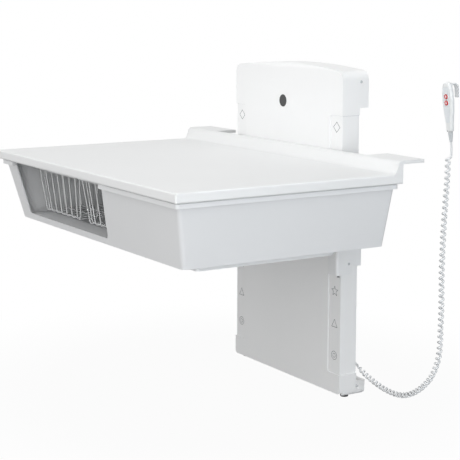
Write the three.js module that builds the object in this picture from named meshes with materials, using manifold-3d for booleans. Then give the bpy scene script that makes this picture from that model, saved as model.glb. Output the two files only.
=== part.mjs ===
// A wall-mounted baby changing table on an electric lift column, with a hand control on a curly cord.
// X runs along the wall, Y points at the wall and Z is up. Sizes are millimetres.
// Heights are counted from the lower edge of the column's cover, and the whole part is then moved
// so that the origin lies on the wall, in the middle of the lower wall rail's back face.
import * as THREE from 'three';
import { mergeVertices } from 'three/addons/utils/BufferGeometryUtils.js';
import Module from 'manifold-3d';

const wasm = await Module();
wasm.setup();

// Gaps between pieces
const SEAT = 0.3;
const RUNNING = 1;

// Column cover
const COVER_HALF_WIDTH = 282;
const COVER_DEPTH = 93;
const COVER_CROWN = 958;
const COVER_ARCH_DROP = 17;
const COVER_CORNER = 25;
const COVER_BROW = 15;
const COVER_HEEL = 12;
const COVER_WALL = 3;
const COVER_TOE = 2;
const COVER_TOE_DEPTH = 25;
const COVER_TOE_STEP = 10;
const COVER_SOLE = 9;
const COVER_SOLE_ROUND = 10;
const COVER_CLEAR = 0.5;
const HEAD_BELOW_CROWN = 142;
const FOOT_HEIGHT = 56;
const HEAD_LUG_RISE = 21;
const FOOT_LUG_HEIGHT = 32;
const WINDOW_CORNER = 8;
const PANEL_RETURN = 22;

// Guide columns and wall rails
const GUIDE_WIDTH = 55.5;
const GUIDE_WALL = 3;
const GUIDE_SLOT = 24;
const GUIDE_FOOT = 4;
const RAIL_DEPTH = 30.7;
const RAIL_SHEET = 3;
const LOWER_RAIL_HEIGHT = 24;
const UPPER_RAIL_HEIGHT = 73;
const RAIL_HOLE_RADIUS = 4.5;
const RAIL_HOLE_SPACING = 160;

// Badge, screws and feet
const BADGE_RADIUS = 18.5;
const BADGE_X = -18;
const BADGE_BELOW_CROWN = 116;
const BADGE_THICK = 2;
const BADGE_PROUD = 0.5;
const SCREW_HEAD_RADIUS = 4;
const SCREW_HEAD = 2;
const SCREW_SHANK_RADIUS = 2;
const SCREW_INSET = 3;
const RECESS = 14;
const RECESS_DEEP = 1.5;
const RUBBER_FOOT_RADIUS = 12;
const RUBBER_FOOT_HEIGHT = 14;
const RUBBER_FOOT_PAD = 4.5;
const RUBBER_FOOT_STUD = 5;
const RUBBER_FOOT_OUT = 12;

// Lift drive
const SPINDLE_RADIUS = 10;
const SHAFT_RADIUS = 7.5;
const GEARBOX_HEIGHT = 32;
const GEARBOX_INSET = 3;
const BORE_CLEAR = 0.4;
const SHAFT_ENGAGE = 14;
const WORM_BOX_WIDTH = 70;
const MOTOR_RADIUS = 25;
const MOTOR_LENGTH = 110;
const BEARING_HEIGHT = 26;
const SPINDLE_SOCKET = 12;

// Control box and gland
const CONTROL_BOX_LENGTH = 305;
const CONTROL_BOX_GUIDE_GAP = 18;
const CONTROL_BOX_HEIGHT = 120;
const CONTROL_BOX_FRONT_GAP = 10;
const CONTROL_BOX_BACK_GAP = 3;
const GLAND_RADIUS = 8;
const GLAND_LENGTH = 14;
const GLAND_FROM_WALL = 12;
const GLAND_HEIGHT = 83;

// Carriage
const SLIDE_LENGTH = 150;
const SLIDE_BORE = 12;
const NUT_RADIUS = 20;
const NUT_HEIGHT = 30;
const BRACKET_BELOW_RIM = 54;
const BRACKET_HEIGHT = 245;
const BRACKET_REAR_STEP = 23;
const BRACKET_REAR_HEIGHT = 147;
const BRACKET_STEP_DEPTH = 56;
const BRACKET_STEP_ROUND = 16;
const BRACKET_WEB = 6;
const BRACKET_BLOCK = 18;
const BRACKET_WIDTH = 57;
const BRACKET_BLOCK_WIDTH = 44;
const BRACKET_RELIEF = 1.5;
const BRACKET_CORNER = 8;
const BRACKET_SCREW_RISE = 32;
const BRACKET_SCREW_BACK = 43;
const LEVELLING_RADIUS = 4;
const LEVELLING_LENGTH = 4;

// Table top
const TOP_HALF_WIDTH = 557.5;
const TOP_FRONT = 800;
const TOP_THICK = 27;
const TOP_EDGE = 5;
const TOP_CORNER = 6;
const TOP_SKIN = 15;
const TOP_LIP = 32;
const RIM_BOTTOM = 654;
const TOP_COLUMN_GAP = 1.5;
const UPSTAND_RISE = 36;
const UPSTAND_FOOT = 32;
const UPSTAND_COVE = 11;
const UPSTAND_NOSE = 13;
const SHELF_THICK = 9.5;
const SHELF_COLUMN_GAP = 115.5;
const SHELF_WALL_GAP = 21;

// Tub
const TUB_WALL = 4;
const TUB_DEPTH = 179;
const TUB_END_INSET = 23.5;
const TUB_FRONT_INSET = 20.5;
const TUB_BACK_GAP = 10;
const TUB_END_DRAFT = 40;
const TUB_FRONT_DRAFT = 36.5;
const TUB_BACK_DRAFT = 4.5;
const TUB_CORNER = 12;
const FLANGE_OUT = 11;
const FLANGE_THICK = 12;
const FLANGE_GAP = 2.5;
const FLANGE_BACK = 5;
const WINDOW_FROM_END = 386.5;
const WINDOW_SILL = 19;
const WINDOW_SILL_HALF_WIDTH = 263;
const WINDOW_HEAD_HALF_WIDTH = 293;
const WINDOW_ROUND = 10;
const BRACKET_NOTCH = 4;

// Table frame, runners and baskets
const ARM_WIDTH = 24;
const ARM_WALL = 2.5;
const ARM_FROM_FRONT = 100;
const ARM_FROM_END = 97.5;
const BEAM = 50;
const BEAM_WALL = 3;
const BEAM_FROM_END = 57.5;
const RUNNER_THICK = 2.5;
const BASKET_RIM_RADIUS = 2.5;
const BASKET_WIRE_RADIUS = 1.9;
const BASKET_RIM_HALF_WIDTH = 131;
const BASKET_FOOT_HALF_WIDTH = 109;
const BASKET_SIDE_PLAY = 3;
const BASKET_FROM_TUB = 35;
const BASKET_LEAN = 16;
const BASKET_LENGTH = 378;
const BASKET_SILL_GAP = 3.6;
const BASKET_LONG_WIRES = 7;
const BASKET_CROSS_WIRES = 7;
const BASKET_WIRE_SIDES = 6;
const RUNNER_GRIP = 4;

// Safety plate
const PLATE_END_INSET = 38;
const PLATE_FRONT_INSET = 63;
const PLATE_BACK_INSET = 117.5;
const PLATE_SHEET = 2.5;
const PLATE_RIM = 8;
const PLATE_DROP = 9;
const PLATE_LIFT = 5;
const PLATE_FRONT_CORNER = 12;
const PLATE_BACK_CORNER = 45;
const HANGER_RADIUS = 4;
const HANGER_HEAD_RADIUS = 8;
const HANGER_HEAD = 4;
const HANGER_INSET = 60;
const FLAG_WIDTH = 16;
const FLAG_LENGTH = 14;
const SENSOR_WALL = 8;

// Hand control
const HANDSET_X = 675;
const HANDSET_Y = -36;
const HANDSET_Z = 802;
const HANDSET_TILT = 6.5;
const HANDSET_LENGTH = 132;
const HANDSET_THICK = 13;
const HANDSET_HALF_WIDTH = 18.5;
const HANDSET_WIDEST = 84;
const HANDSET_FOOT_HALF_WIDTH = 10.5;
const HANDSET_ROUND = 4.5;
const HANDSET_WALL = 2;
const HOOK_WIDTH = 14;
const HOOK_THICK = 3.5;
const HOOK_REACH = 23;
const HOOK_DROP = 45;
const HOOK_BELOW_TOP = 5;
const LABEL_THICK = 0.8;
const LABEL_RECESS = 0.5;
const LABEL_BOTTOM = 24;
const LABEL_TOP = 120;
const LABEL_MARGIN = 0.8;
const BUTTON_RADIUS = 6.4;
const BUTTON_UP_Z = 94;
const BUTTON_SPACING = 16.4;
const BUTTON_PROUD = 1.2;
const BUTTON_TRAVEL = 1;
const BUTTON_CLEAR = 0.4;
const BOARD_THICK = 1.6;
const RELIEF_LENGTH = 27;
const RELIEF_TOP_RADIUS = 6.3;
const RELIEF_END_RADIUS = 4;
const RELIEF_COLLAR = 7;
const RELIEF_RIBS = 5;
const RELIEF_RIB = 0.7;

// Curly cord. Its route is where the axis of the curls lies, from the hand control to the gland.
const CORD_RADIUS = 3.2;
const CURL_RADIUS = 5;
const CURLS = 62;
const CURL_STEPS = 8;
const CORD_SIDES = 5;
const CURL_START = 130;
const LEAD_OFFSET = 7;
const TAIL_LENGTH = 40;
const CORD_ROUTE = [
  [669.5, -37, 735], [667, -36, 688], [661, -34.5, 626], [654.5, -33, 562], [649.5, -31.5, 498],
  [646, -29.8, 420], [645, -27.5, 330], [641.5, -25.5, 265], [638.5, -24, 219], [633.5, -23, 187],
  [624.5, -22, 160.5], [613.5, -21, 139], [600.5, -20, 119], [584.5, -19.5, 101.5], [568.5, -19, 86.5],
  [552.5, -18.5, 73.5], [532.5, -18, 60], [512.5, -17.5, 49], [492, -17, 40.5], [471.5, -16.5, 35],
  [450.5, -16, 32], [429, -15.5, 31.3], [408, -15, 32], [386, -14.5, 34], [365, -14, 37.5],
  [342.5, -13.5, 42], [323.5, -13, 46.7], [305, -12.5, 52.2], [286, -12, 59], [265, -12, 70],
  [245, -12, 79],
];

// Places that follow from the sizes above
const coverFront = -COVER_DEPTH;
const coverInside = COVER_HALF_WIDTH - COVER_WALL;
const headBottom = COVER_CROWN - HEAD_BELOW_CROWN;
const headLugBottom = headBottom + HEAD_LUG_RISE;
const cornerStart = COVER_CROWN - COVER_ARCH_DROP - COVER_CORNER;
const guideOuter = coverInside - COVER_CLEAR;
const guideInner = guideOuter - GUIDE_WIDTH;
const guideMiddle = (guideOuter + guideInner) / 2;
const guideFront = coverFront + COVER_WALL + COVER_CLEAR;
const guideBack = -RAIL_DEPTH - SEAT;
const guideMiddleY = (guideFront + guideBack) / 2;
const panelHalfWidth = guideInner - SEAT;
const railHalfLength = coverInside - COVER_CLEAR;
const upperRailTop = cornerStart - RUNNING;
const upperRailBottom = upperRailTop - UPPER_RAIL_HEIGHT;
const lowerRailTop = GUIDE_FOOT + LOWER_RAIL_HEIGHT;
const lowerRailMiddle = GUIDE_FOOT + LOWER_RAIL_HEIGHT / 2;
const gearboxTop = upperRailTop - RUNNING;
const guideTop = gearboxTop - GEARBOX_HEIGHT - SEAT;
const shaftZ = gearboxTop - GEARBOX_HEIGHT / 2;
const bearingTop = GUIDE_FOOT + BEARING_HEIGHT;
const boxRight = guideInner - CONTROL_BOX_GUIDE_GAP;
const boxLeft = boxRight - CONTROL_BOX_LENGTH;
const bracketTop = RIM_BOTTOM - BRACKET_BELOW_RIM;
const bracketBottom = bracketTop - BRACKET_HEIGHT;
const bracketFace = COVER_HALF_WIDTH + RUNNING + BRACKET_WEB;
const bracketInner = bracketFace - BRACKET_WIDTH;
const bracketBlockBack = coverFront - RUNNING;
const bracketFront = bracketBlockBack - BRACKET_BLOCK;
const bracketBackInside = guideBack + RUNNING;
const bracketBackFace = bracketBackInside + BRACKET_WEB;
const bracketRearBottom = bracketBottom + BRACKET_REAR_STEP;
const slideBottom = bracketRearBottom + RUNNING;
const topBack = coverFront - TOP_COLUMN_GAP;
const topSurface = RIM_BOTTOM + TOP_THICK;
const shelfTop = topSurface + UPSTAND_RISE;
const shelfInner = COVER_HALF_WIDTH + SHELF_COLUMN_GAP;
const slabBottom = topSurface - TOP_SKIN;
const flangeTop = RIM_BOTTOM - FLANGE_GAP;
const flangeBottom = flangeTop - FLANGE_THICK;
const tubRim = RIM_BOTTOM - SEAT;
const tubFloor = RIM_BOTTOM - TUB_DEPTH;
const mouthHalfWidth = TOP_HALF_WIDTH - TUB_END_INSET;
const mouthFront = -TOP_FRONT + TUB_FRONT_INSET;
const mouthBack = coverFront - TUB_BACK_GAP;
const footHalfWidth = mouthHalfWidth - TUB_END_DRAFT;
const footFront = mouthFront + TUB_FRONT_DRAFT;
const footBack = mouthBack - TUB_BACK_DRAFT;
const sill = tubFloor + WINDOW_SILL;
const windowCentre = -TOP_HALF_WIDTH + WINDOW_FROM_END;
const armTop = slabBottom - SEAT;
const basketFloor = sill + BASKET_SILL_GAP + BASKET_WIRE_RADIUS;
const beamFront = bracketFront - SEAT - BEAM;
const armBottom = flangeBottom - TOP_SKIN;
const beamTop = armBottom - SEAT;
const armBack = topBack - TOP_LIP - RUNNING;
const armFront = -TOP_FRONT + ARM_FROM_FRONT;
const armRight = TOP_HALF_WIDTH - ARM_FROM_END;
const beamHalfLength = TOP_HALF_WIDTH - BEAM_FROM_END;
const runnerTop = armBottom - SEAT;
const basketRimZ = runnerTop + SEAT + BASKET_RIM_RADIUS;
const basketOffset = ARM_WIDTH / 2 + BASKET_SIDE_PLAY + BASKET_RIM_RADIUS + BASKET_RIM_HALF_WIDTH;
const basketFront = footFront + BASKET_FROM_TUB;
const basketReach = BASKET_RIM_HALF_WIDTH + BASKET_RIM_RADIUS;
const armOffset = basketOffset + basketReach + BASKET_SIDE_PLAY + ARM_WIDTH / 2;
const plateTop = tubFloor - PLATE_DROP;
const plateBottom = plateTop - PLATE_RIM;
const plateHalfWidth = footHalfWidth - PLATE_END_INSET;
const plateFront = footFront + PLATE_FRONT_INSET;
const plateBack = footBack - PLATE_BACK_INSET;
const tilt = THREE.MathUtils.degToRad(HANDSET_TILT);

// Turns a three.js geometry into a manifold, for cutting and joining.
function solid(geometry) {
  const bare = geometry.index ? geometry.toNonIndexed() : geometry.clone();
  for (const name of Object.keys(bare.attributes)) {
    if (name !== 'position') bare.deleteAttribute(name);
  }
  const merged = mergeVertices(bare, 1e-4);
  const vertProperties = Float32Array.from(merged.attributes.position.array);
  const triVerts = Uint32Array.from(merged.index.array);
  return new wasm.Manifold(new wasm.Mesh({ numProp: 3, vertProperties, triVerts }));
}

// Turns a manifold back into a three.js geometry.
function geometryOf(manifold) {
  const { numProp, vertProperties, triVerts } = manifold.getMesh();
  const count = vertProperties.length / numProp;
  const position = new Float32Array(count * 3);
  for (let i = 0; i < count; i += 1) {
    for (let k = 0; k < 3; k += 1) position[i * 3 + k] = vertProperties[i * numProp + k];
  }
  const geometry = new THREE.BufferGeometry();
  geometry.setAttribute('position', new THREE.BufferAttribute(position, 3));
  geometry.setIndex(Array.from(triVerts));
  return geometry;
}

// A block between two corners.
function block(x0, x1, y0, y1, z0, z1) {
  const geometry = new THREE.BoxGeometry(x1 - x0, y1 - y0, z1 - z0);
  return geometry.translate((x0 + x1) / 2, (y0 + y1) / 2, (z0 + z1) / 2);
}

// An outline extruded along an axis. It is drawn in XY for z, in XZ for y and in YZ for x.
const OUTLINE_FRAMES = {
  x: new THREE.Matrix4().set(0, 0, 1, 0, 1, 0, 0, 0, 0, 1, 0, 0, 0, 0, 0, 1),
  y: new THREE.Matrix4().set(1, 0, 0, 0, 0, 0, -1, 0, 0, 1, 0, 0, 0, 0, 0, 1),
  z: new THREE.Matrix4(),
};

function prism(shape, axis, from, to, curveSegments = 5) {
  const geometry = new THREE.ExtrudeGeometry(shape, { depth: to - from, bevelEnabled: false, curveSegments });
  geometry.translate(0, 0, axis === 'y' ? -to : from);
  return geometry.applyMatrix4(OUTLINE_FRAMES[axis]);
}

// A closed polygon as a shape.
function polygon(points) {
  return new THREE.Shape(points.map(([x, y]) => new THREE.Vector2(x, y)));
}

// A rectangle with one radius for its two low corners and one for its two high corners.
function roundedRectangle(x0, x1, y0, y1, low, high = low) {
  const shape = new THREE.Shape();
  shape.moveTo(x0 + low, y0);
  shape.lineTo(x1 - low, y0);
  shape.absarc(x1 - low, y0 + low, low, -Math.PI / 2, 0);
  shape.lineTo(x1, y1 - high);
  shape.absarc(x1 - high, y1 - high, high, 0, Math.PI / 2);
  shape.lineTo(x0 + high, y1);
  shape.absarc(x0 + high, y1 - high, high, Math.PI / 2, Math.PI);
  shape.lineTo(x0, y0 + low);
  shape.absarc(x0 + low, y0 + low, low, Math.PI, 1.5 * Math.PI);
  return shape;
}

// A round bar with its axis on x, y or z through a point.
function rod(axis, radius, from, to, across, sides = 20) {
  const geometry = new THREE.CylinderGeometry(radius, radius, to - from, sides);
  geometry.translate(0, (from + to) / 2, 0);
  if (axis === 'x') geometry.rotateZ(-Math.PI / 2).translate(0, across[0], across[1]);
  if (axis === 'y') geometry.translate(across[0], 0, across[1]);
  if (axis === 'z') geometry.rotateX(Math.PI / 2).translate(across[0], across[1], 0);
  return geometry;
}

// A turned piece round the z axis. The profile is a list of radius and height.
function turned(profile, sides = 20) {
  const points = profile.map(([r, z]) => new THREE.Vector2(r, z));
  return new THREE.LatheGeometry(points, sides).rotateX(Math.PI / 2);
}

// A skin through rings of points. It is closed by fans at both ends, or on itself as a loop.
function loft(rings, loop = false) {
  const sides = rings[0].length;
  const position = rings.flat(2);
  const index = [];
  const steps = loop ? rings.length : rings.length - 1;
  for (let r = 0; r < steps; r += 1) {
    const next = (r + 1) % rings.length;
    for (let i = 0; i < sides; i += 1) {
      const j = (i + 1) % sides;
      const [a, b, c, d] = [r * sides + i, r * sides + j, next * sides + j, next * sides + i];
      index.push(a, b, c, a, c, d);
    }
  }
  for (const [ring, flip] of loop ? [] : [[0, true], [rings.length - 1, false]]) {
    const middle = position.length / 3;
    for (let k = 0; k < 3; k += 1) {
      position.push(rings[ring].reduce((sum, point) => sum + point[k], 0) / sides);
    }
    for (let i = 0; i < sides; i += 1) {
      const a = ring * sides + i;
      const b = ring * sides + (i + 1) % sides;
      index.push(middle, flip ? b : a, flip ? a : b);
    }
  }
  const geometry = new THREE.BufferGeometry();
  geometry.setAttribute('position', new THREE.Float32BufferAttribute(position, 3));
  geometry.setIndex(index);
  return geometry;
}

// Points of a rounded rectangle at one height, for a loft.
function ringAt(z, halfWidth, y0, y1, radius) {
  const shape = roundedRectangle(-halfWidth, halfWidth, y0, y1, radius);
  const points = shape.getPoints(4);
  if (points[0].distanceTo(points.at(-1)) < 1e-6) points.pop();
  return points.map((p) => [p.x, p.y, z]);
}

// Finishes
const FINISHES = {
  white_shell: { color: 0xeef0f0, roughness: 0.45, metalness: 0 },
  white_paint: { color: 0xe9ebec, roughness: 0.4, metalness: 0 },
  grey_paint: { color: 0xd4d6d8, roughness: 0.45, metalness: 0 },
  steel: { color: 0xb8babc, roughness: 0.35, metalness: 1 },
  aluminium: { color: 0xd9dbdc, roughness: 0.4, metalness: 0.8 },
  brass: { color: 0xb59a5a, roughness: 0.4, metalness: 1 },
  dark: { color: 0x2b2b2c, roughness: 0.5, metalness: 0 },
  rubber: { color: 0x151516, roughness: 0.8, metalness: 0 },
  cord: { color: 0xe3e5e6, roughness: 0.5, metalness: 0 },
  label: { color: 0xc3cdd6, roughness: 0.5, metalness: 0 },
  red: { color: 0xb3131a, roughness: 0.45, metalness: 0 },
  grey_rubber: { color: 0x9fa3a6, roughness: 0.7, metalness: 0 },
  green_board: { color: 0x2f6b3c, roughness: 0.6, metalness: 0 },
};

const part = new THREE.Group();
const assembly = new THREE.Group();
assembly.position.z = -lowerRailMiddle;
part.add(assembly);

function place(name, geometry, finish, parent = assembly) {
  const mesh = new THREE.Mesh(geometry, new THREE.MeshStandardMaterial(FINISHES[finish]));
  mesh.name = name;
  parent.add(mesh);
  return mesh;
}

const SIDES = [['left', -1], ['right', 1]];

// Keeps a span in order after it is mirrored to the left side.
function span(side, a, b) {
  return side > 0 ? [a, b] : [-b, -a];
}

// Wall rails: pressed steel trays, open to the front, with screw holes to the wall
function wallRail(bottom, top) {
  const inner = railHalfLength - RAIL_SHEET;
  const tray = solid(block(-railHalfLength, railHalfLength, -RAIL_DEPTH, 0, bottom, top));
  const hollow = block(-inner, inner, -RAIL_DEPTH - RUNNING, -RAIL_SHEET, bottom + RAIL_SHEET, top - RAIL_SHEET);
  let rail = tray.subtract(solid(hollow));
  for (const x of [-1.5, -0.5, 0.5, 1.5]) {
    const across = [x * RAIL_HOLE_SPACING, (bottom + top) / 2];
    rail = rail.subtract(solid(rod('y', RAIL_HOLE_RADIUS, -2 * RAIL_SHEET, RAIL_SHEET, across, 12)));
  }
  return geometryOf(rail);
}

place('upper_wall_rail', wallRail(upperRailBottom, upperRailTop), 'steel');
place('lower_wall_rail', wallRail(GUIDE_FOOT, lowerRailTop), 'steel');

// Guide columns: extruded aluminium with a slot at the back for the carriage
function guideOutline(side) {
  const [x0, x1] = span(side, guideInner, guideOuter);
  const middle = side * guideMiddle;
  const half = GUIDE_SLOT / 2;
  return polygon([
    [x0, guideFront], [x1, guideFront], [x1, guideBack], [middle + half, guideBack],
    [middle + half, guideBack - GUIDE_WALL], [x1 - GUIDE_WALL, guideBack - GUIDE_WALL],
    [x1 - GUIDE_WALL, guideFront + GUIDE_WALL], [x0 + GUIDE_WALL, guideFront + GUIDE_WALL],
    [x0 + GUIDE_WALL, guideBack - GUIDE_WALL], [middle - half, guideBack - GUIDE_WALL],
    [middle - half, guideBack], [x0, guideBack],
  ]);
}

for (const [name, side] of SIDES) {
  place(`${name}_guide_column`, prism(guideOutline(side), 'z', GUIDE_FOOT, guideTop), 'white_paint');
}

// Front cover: one moulding with an arched head, a centre panel and a foot, open at the back
function archOutline(inset, below) {
  const half = COVER_HALF_WIDTH - inset;
  const crown = COVER_CROWN - inset;
  const corner = COVER_CORNER - inset;
  const drop = COVER_ARCH_DROP;
  const radius = (half * half + drop * drop) / (2 * drop);
  const reach = half - corner;
  const shoulder = crown - radius + Math.sqrt(radius * radius - reach * reach);
  const lean = Math.asin(reach / radius);
  const round = COVER_SOLE_ROUND - inset;
  const bottom = inset - below;
  const shape = new THREE.Shape();
  shape.moveTo(round - half, bottom);
  shape.lineTo(half - round, bottom);
  shape.absarc(half - round, bottom + round, round, -Math.PI / 2, 0);
  shape.lineTo(half, shoulder - corner);
  shape.absarc(reach, shoulder - corner, corner, 0, Math.PI / 2 - lean);
  shape.absarc(0, crown - radius, radius, Math.PI / 2 - lean, Math.PI / 2 + lean);
  shape.absarc(-reach, shoulder - corner, corner, Math.PI / 2 + lean, Math.PI);
  shape.absarc(round - half, bottom + round, round, Math.PI, Math.PI * 1.5);
  return shape;
}

function coverProfile(inset, back) {
  const front = coverFront + inset;
  const crown = COVER_CROWN - inset;
  const brow = COVER_BROW - inset;
  const shape = new THREE.Shape();
  shape.moveTo(front, inset ? -COVER_SOLE : -COVER_TOE);
  shape.lineTo(front + COVER_TOE_DEPTH, -COVER_SOLE);
  shape.lineTo(back - (inset ? 0 : COVER_HEEL), -COVER_SOLE);
  if (!inset) shape.absarc(back - COVER_HEEL, COVER_HEEL - COVER_SOLE, COVER_HEEL, -Math.PI / 2, 0);
  shape.lineTo(back, crown);
  shape.lineTo(front + brow, crown);
  shape.absarc(front + brow, crown - brow, brow, Math.PI / 2, Math.PI);
  return shape;
}

// The sole slopes down behind the front edge, so that the sides reach lower than the front.
function coverBlank(inset, back) {
  const spanX = COVER_HALF_WIDTH + COVER_WALL;
  const toeBack = coverFront + COVER_TOE_STEP;
  const toeBelow = inset ? COVER_SOLE : COVER_TOE;
  const toe = solid(prism(archOutline(inset, toeBelow), 'y', coverFront + inset, toeBack, 6));
  const rest = solid(prism(archOutline(inset, COVER_SOLE), 'y', toeBack, back, 6));
  const arch = toe.add(rest);
  return arch.intersect(solid(prism(coverProfile(inset, back), 'x', -spanX, spanX, 6)));
}

function frontCover() {
  let cover = coverBlank(0, 0).subtract(coverBlank(COVER_WALL, COVER_WALL));
  const soleHalf = COVER_HALF_WIDTH - COVER_SOLE_ROUND;
  const soleFront = coverFront + COVER_WALL;
  const sole = block(-soleHalf, soleHalf, soleFront, COVER_WALL, -COVER_SOLE - COVER_WALL, COVER_SOLE_ROUND);
  cover = cover.subtract(solid(sole));
  const far = COVER_HALF_WIDTH + COVER_WALL;
  for (const [, side] of SIDES) {
    const [x0, x1] = span(side, panelHalfWidth, far + WINDOW_CORNER);
    const opening = roundedRectangle(x0, x1, FOOT_HEIGHT, headBottom, WINDOW_CORNER);
    cover = cover.subtract(solid(prism(opening, 'y', coverFront - COVER_WALL, COVER_WALL)));
    const [l0, l1] = span(side, coverInside - COVER_WALL, far);
    const lugGap = block(l0, l1, guideBack, COVER_WALL, FOOT_LUG_HEIGHT, headLugBottom);
    cover = cover.subtract(solid(lugGap));
    const [c0, c1] = span(side, guideInner, coverInside + COVER_WALL / 2);
    const capBottom = FOOT_LUG_HEIGHT - COVER_WALL;
    const cap = block(c0, c1, guideBack + COVER_CLEAR, 0, capBottom, FOOT_LUG_HEIGHT);
    cover = cover.add(solid(cap));
    const [r0, r1] = span(side, panelHalfWidth - COVER_WALL, panelHalfWidth);
    const low = FOOT_HEIGHT + WINDOW_CORNER;
    const high = headBottom - WINDOW_CORNER;
    const lip = block(r0, r1, coverFront + COVER_WALL / 2, coverFront + PANEL_RETURN, low, high);
    cover = cover.add(solid(lip));
    cover = cover.subtract(solid(screwHole(side, screwPlaces.upper)));
    cover = cover.subtract(solid(screwHole(side, screwPlaces.lower)));
    const [p0, p1] = span(side, COVER_HALF_WIDTH - RECESS_DEEP, far);
    const [py, pz] = screwPlaces.lower;
    const pocket = block(p0, p1, py - RECESS, py + RECESS / 2, pz - RECESS / 2, pz + RECESS / 2);
    cover = cover.subtract(solid(pocket));
  }
  const seat = BADGE_RADIUS + SEAT;
  const floor = coverFront + BADGE_THICK - BADGE_PROUD + SEAT;
  const pocket = rod('y', seat, coverFront - COVER_WALL, floor, [BADGE_X, COVER_CROWN - BADGE_BELOW_CROWN], 32);
  return geometryOf(cover.subtract(solid(pocket)));
}

// Cover screws, into the ends of the wall rails
const screwPlaces = {
  upper: [-RAIL_DEPTH + SCREW_INSET, upperRailTop - SCREW_INSET],
  lower: [-RAIL_DEPTH + SCREW_INSET, lowerRailMiddle],
};

function screwHole(side, across) {
  const [x0, x1] = span(side, coverInside - COVER_WALL, COVER_HALF_WIDTH + COVER_WALL);
  return rod('x', SCREW_SHANK_RADIUS + SEAT, x0, x1, across, 12);
}

function coverScrew(side, across, seat) {
  const head = turned([[0, 0], [SCREW_HEAD_RADIUS, 0], [SCREW_HEAD_RADIUS, SCREW_HEAD * 0.6],
    [SCREW_HEAD_RADIUS * 0.7, SCREW_HEAD], [0, SCREW_HEAD]], 16);
  const shank = rod('z', SCREW_SHANK_RADIUS, railHalfLength + SEAT - seat, SEAT, [0, 0], 12);
  const screw = geometryOf(solid(head).add(solid(shank)));
  return screw.rotateY(side * Math.PI / 2).translate(side * (seat + SEAT), across[0], across[1]);
}

place('front_cover', frontCover(), 'white_shell');
for (const [name, side] of SIDES) {
  const sunk = COVER_HALF_WIDTH - RECESS_DEEP;
  place(`cover_screw_upper_${name}`, coverScrew(side, screwPlaces.upper, COVER_HALF_WIDTH), 'steel');
  place(`cover_screw_lower_${name}`, coverScrew(side, screwPlaces.lower, sunk), 'steel');
}

// Badge: a plain dark disc let into the cover
const badgeFront = coverFront - BADGE_PROUD;
const badgeAcross = [BADGE_X, COVER_CROWN - BADGE_BELOW_CROWN];
place('cover_badge', rod('y', BADGE_RADIUS, badgeFront, badgeFront + BADGE_THICK, badgeAcross, 32), 'dark');

// Lift drive: spindles in the guides, turned from a motor in the head by a cross shaft
for (const [name, side] of SIDES) {
  const middle = side * guideMiddle;
  const cavity = [guideInner + GUIDE_WALL + SEAT, guideOuter - GUIDE_WALL - SEAT];
  const [c0, c1] = span(side, ...cavity);
  const front = guideFront + GUIDE_WALL + SEAT;
  const back = guideBack - GUIDE_WALL - SEAT;

  const bearing = solid(block(c0, c1, front, back, GUIDE_FOOT, bearingTop));
  const socketFloor = bearingTop - SPINDLE_SOCKET;
  const spindleAcross = [middle, guideMiddleY];
  const socketBore = rod('z', SPINDLE_RADIUS + BORE_CLEAR, socketFloor, bearingTop + RUNNING, spindleAcross);
  place(`${name}_foot_bearing`, geometryOf(bearing.subtract(solid(socketBore))), 'steel');

  const [g0, g1] = span(side, guideInner + GEARBOX_INSET, guideOuter - GEARBOX_INSET);
  const boxBottom = gearboxTop - GEARBOX_HEIGHT;
  let gearbox = solid(block(g0, g1, guideFront + GEARBOX_INSET, guideBack - GEARBOX_INSET, boxBottom, gearboxTop));
  const spindleTop = boxBottom + SPINDLE_SOCKET / 2;
  const spindleBore = rod('z', SPINDLE_RADIUS + BORE_CLEAR, boxBottom - RUNNING, spindleTop + SEAT, spindleAcross);
  const [s0, s1] = span(side, guideInner - RUNNING, guideInner + GEARBOX_INSET + SHAFT_ENGAGE + SEAT);
  const shaftBore = rod('x', SHAFT_RADIUS + BORE_CLEAR, s0, s1, [guideMiddleY, shaftZ]);
  gearbox = gearbox.subtract(solid(spindleBore)).subtract(solid(shaftBore));
  place(`${name}_bevel_gearbox`, geometryOf(gearbox), 'aluminium');
  const spindle = rod('z', SPINDLE_RADIUS, socketFloor + SEAT, spindleTop, spindleAcross, 16);
  place(`${name}_spindle`, spindle, 'steel');
}

const shaftEnd = guideInner + GEARBOX_INSET + SHAFT_ENGAGE;
place('cross_shaft', rod('x', SHAFT_RADIUS, -shaftEnd, shaftEnd, [guideMiddleY, shaftZ], 16), 'steel');

const wormHalf = WORM_BOX_WIDTH / 2;
const wormBottom = upperRailBottom;
const wormBox = solid(block(-wormHalf, wormHalf, guideFront, guideBack, wormBottom, gearboxTop));
const wormEnd = wormHalf + RUNNING;
const wormBore = rod('x', SHAFT_RADIUS + BORE_CLEAR, -wormEnd, wormEnd, [guideMiddleY, shaftZ]);
place('worm_gearbox', geometryOf(wormBox.subtract(solid(wormBore))), 'aluminium');
const motorTop = wormBottom - SEAT;
place('drive_motor', rod('z', MOTOR_RADIUS, motorTop - MOTOR_LENGTH, motorTop, [0, guideMiddleY], 24), 'dark');

// Control box on the lower rail, with the gland that the cord comes out of
const boxTop = lowerRailTop + SEAT + CONTROL_BOX_HEIGHT;
const boxFront = coverFront + CONTROL_BOX_FRONT_GAP;
const glandAcross = [-GLAND_FROM_WALL, GLAND_HEIGHT];
const controlBox = block(boxLeft, boxRight, boxFront, -CONTROL_BOX_BACK_GAP, lowerRailTop + SEAT, boxTop);
place('control_box', controlBox, 'grey_paint');
const glandStart = boxRight + SEAT;
const gland = turned([[0, 0], [GLAND_RADIUS, 0], [GLAND_RADIUS, GLAND_LENGTH * 0.6],
  [CORD_RADIUS + RUNNING, GLAND_LENGTH], [0, GLAND_LENGTH]], 16);
place('cord_gland', gland.rotateY(Math.PI / 2).translate(glandStart, ...glandAcross), 'dark');

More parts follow.
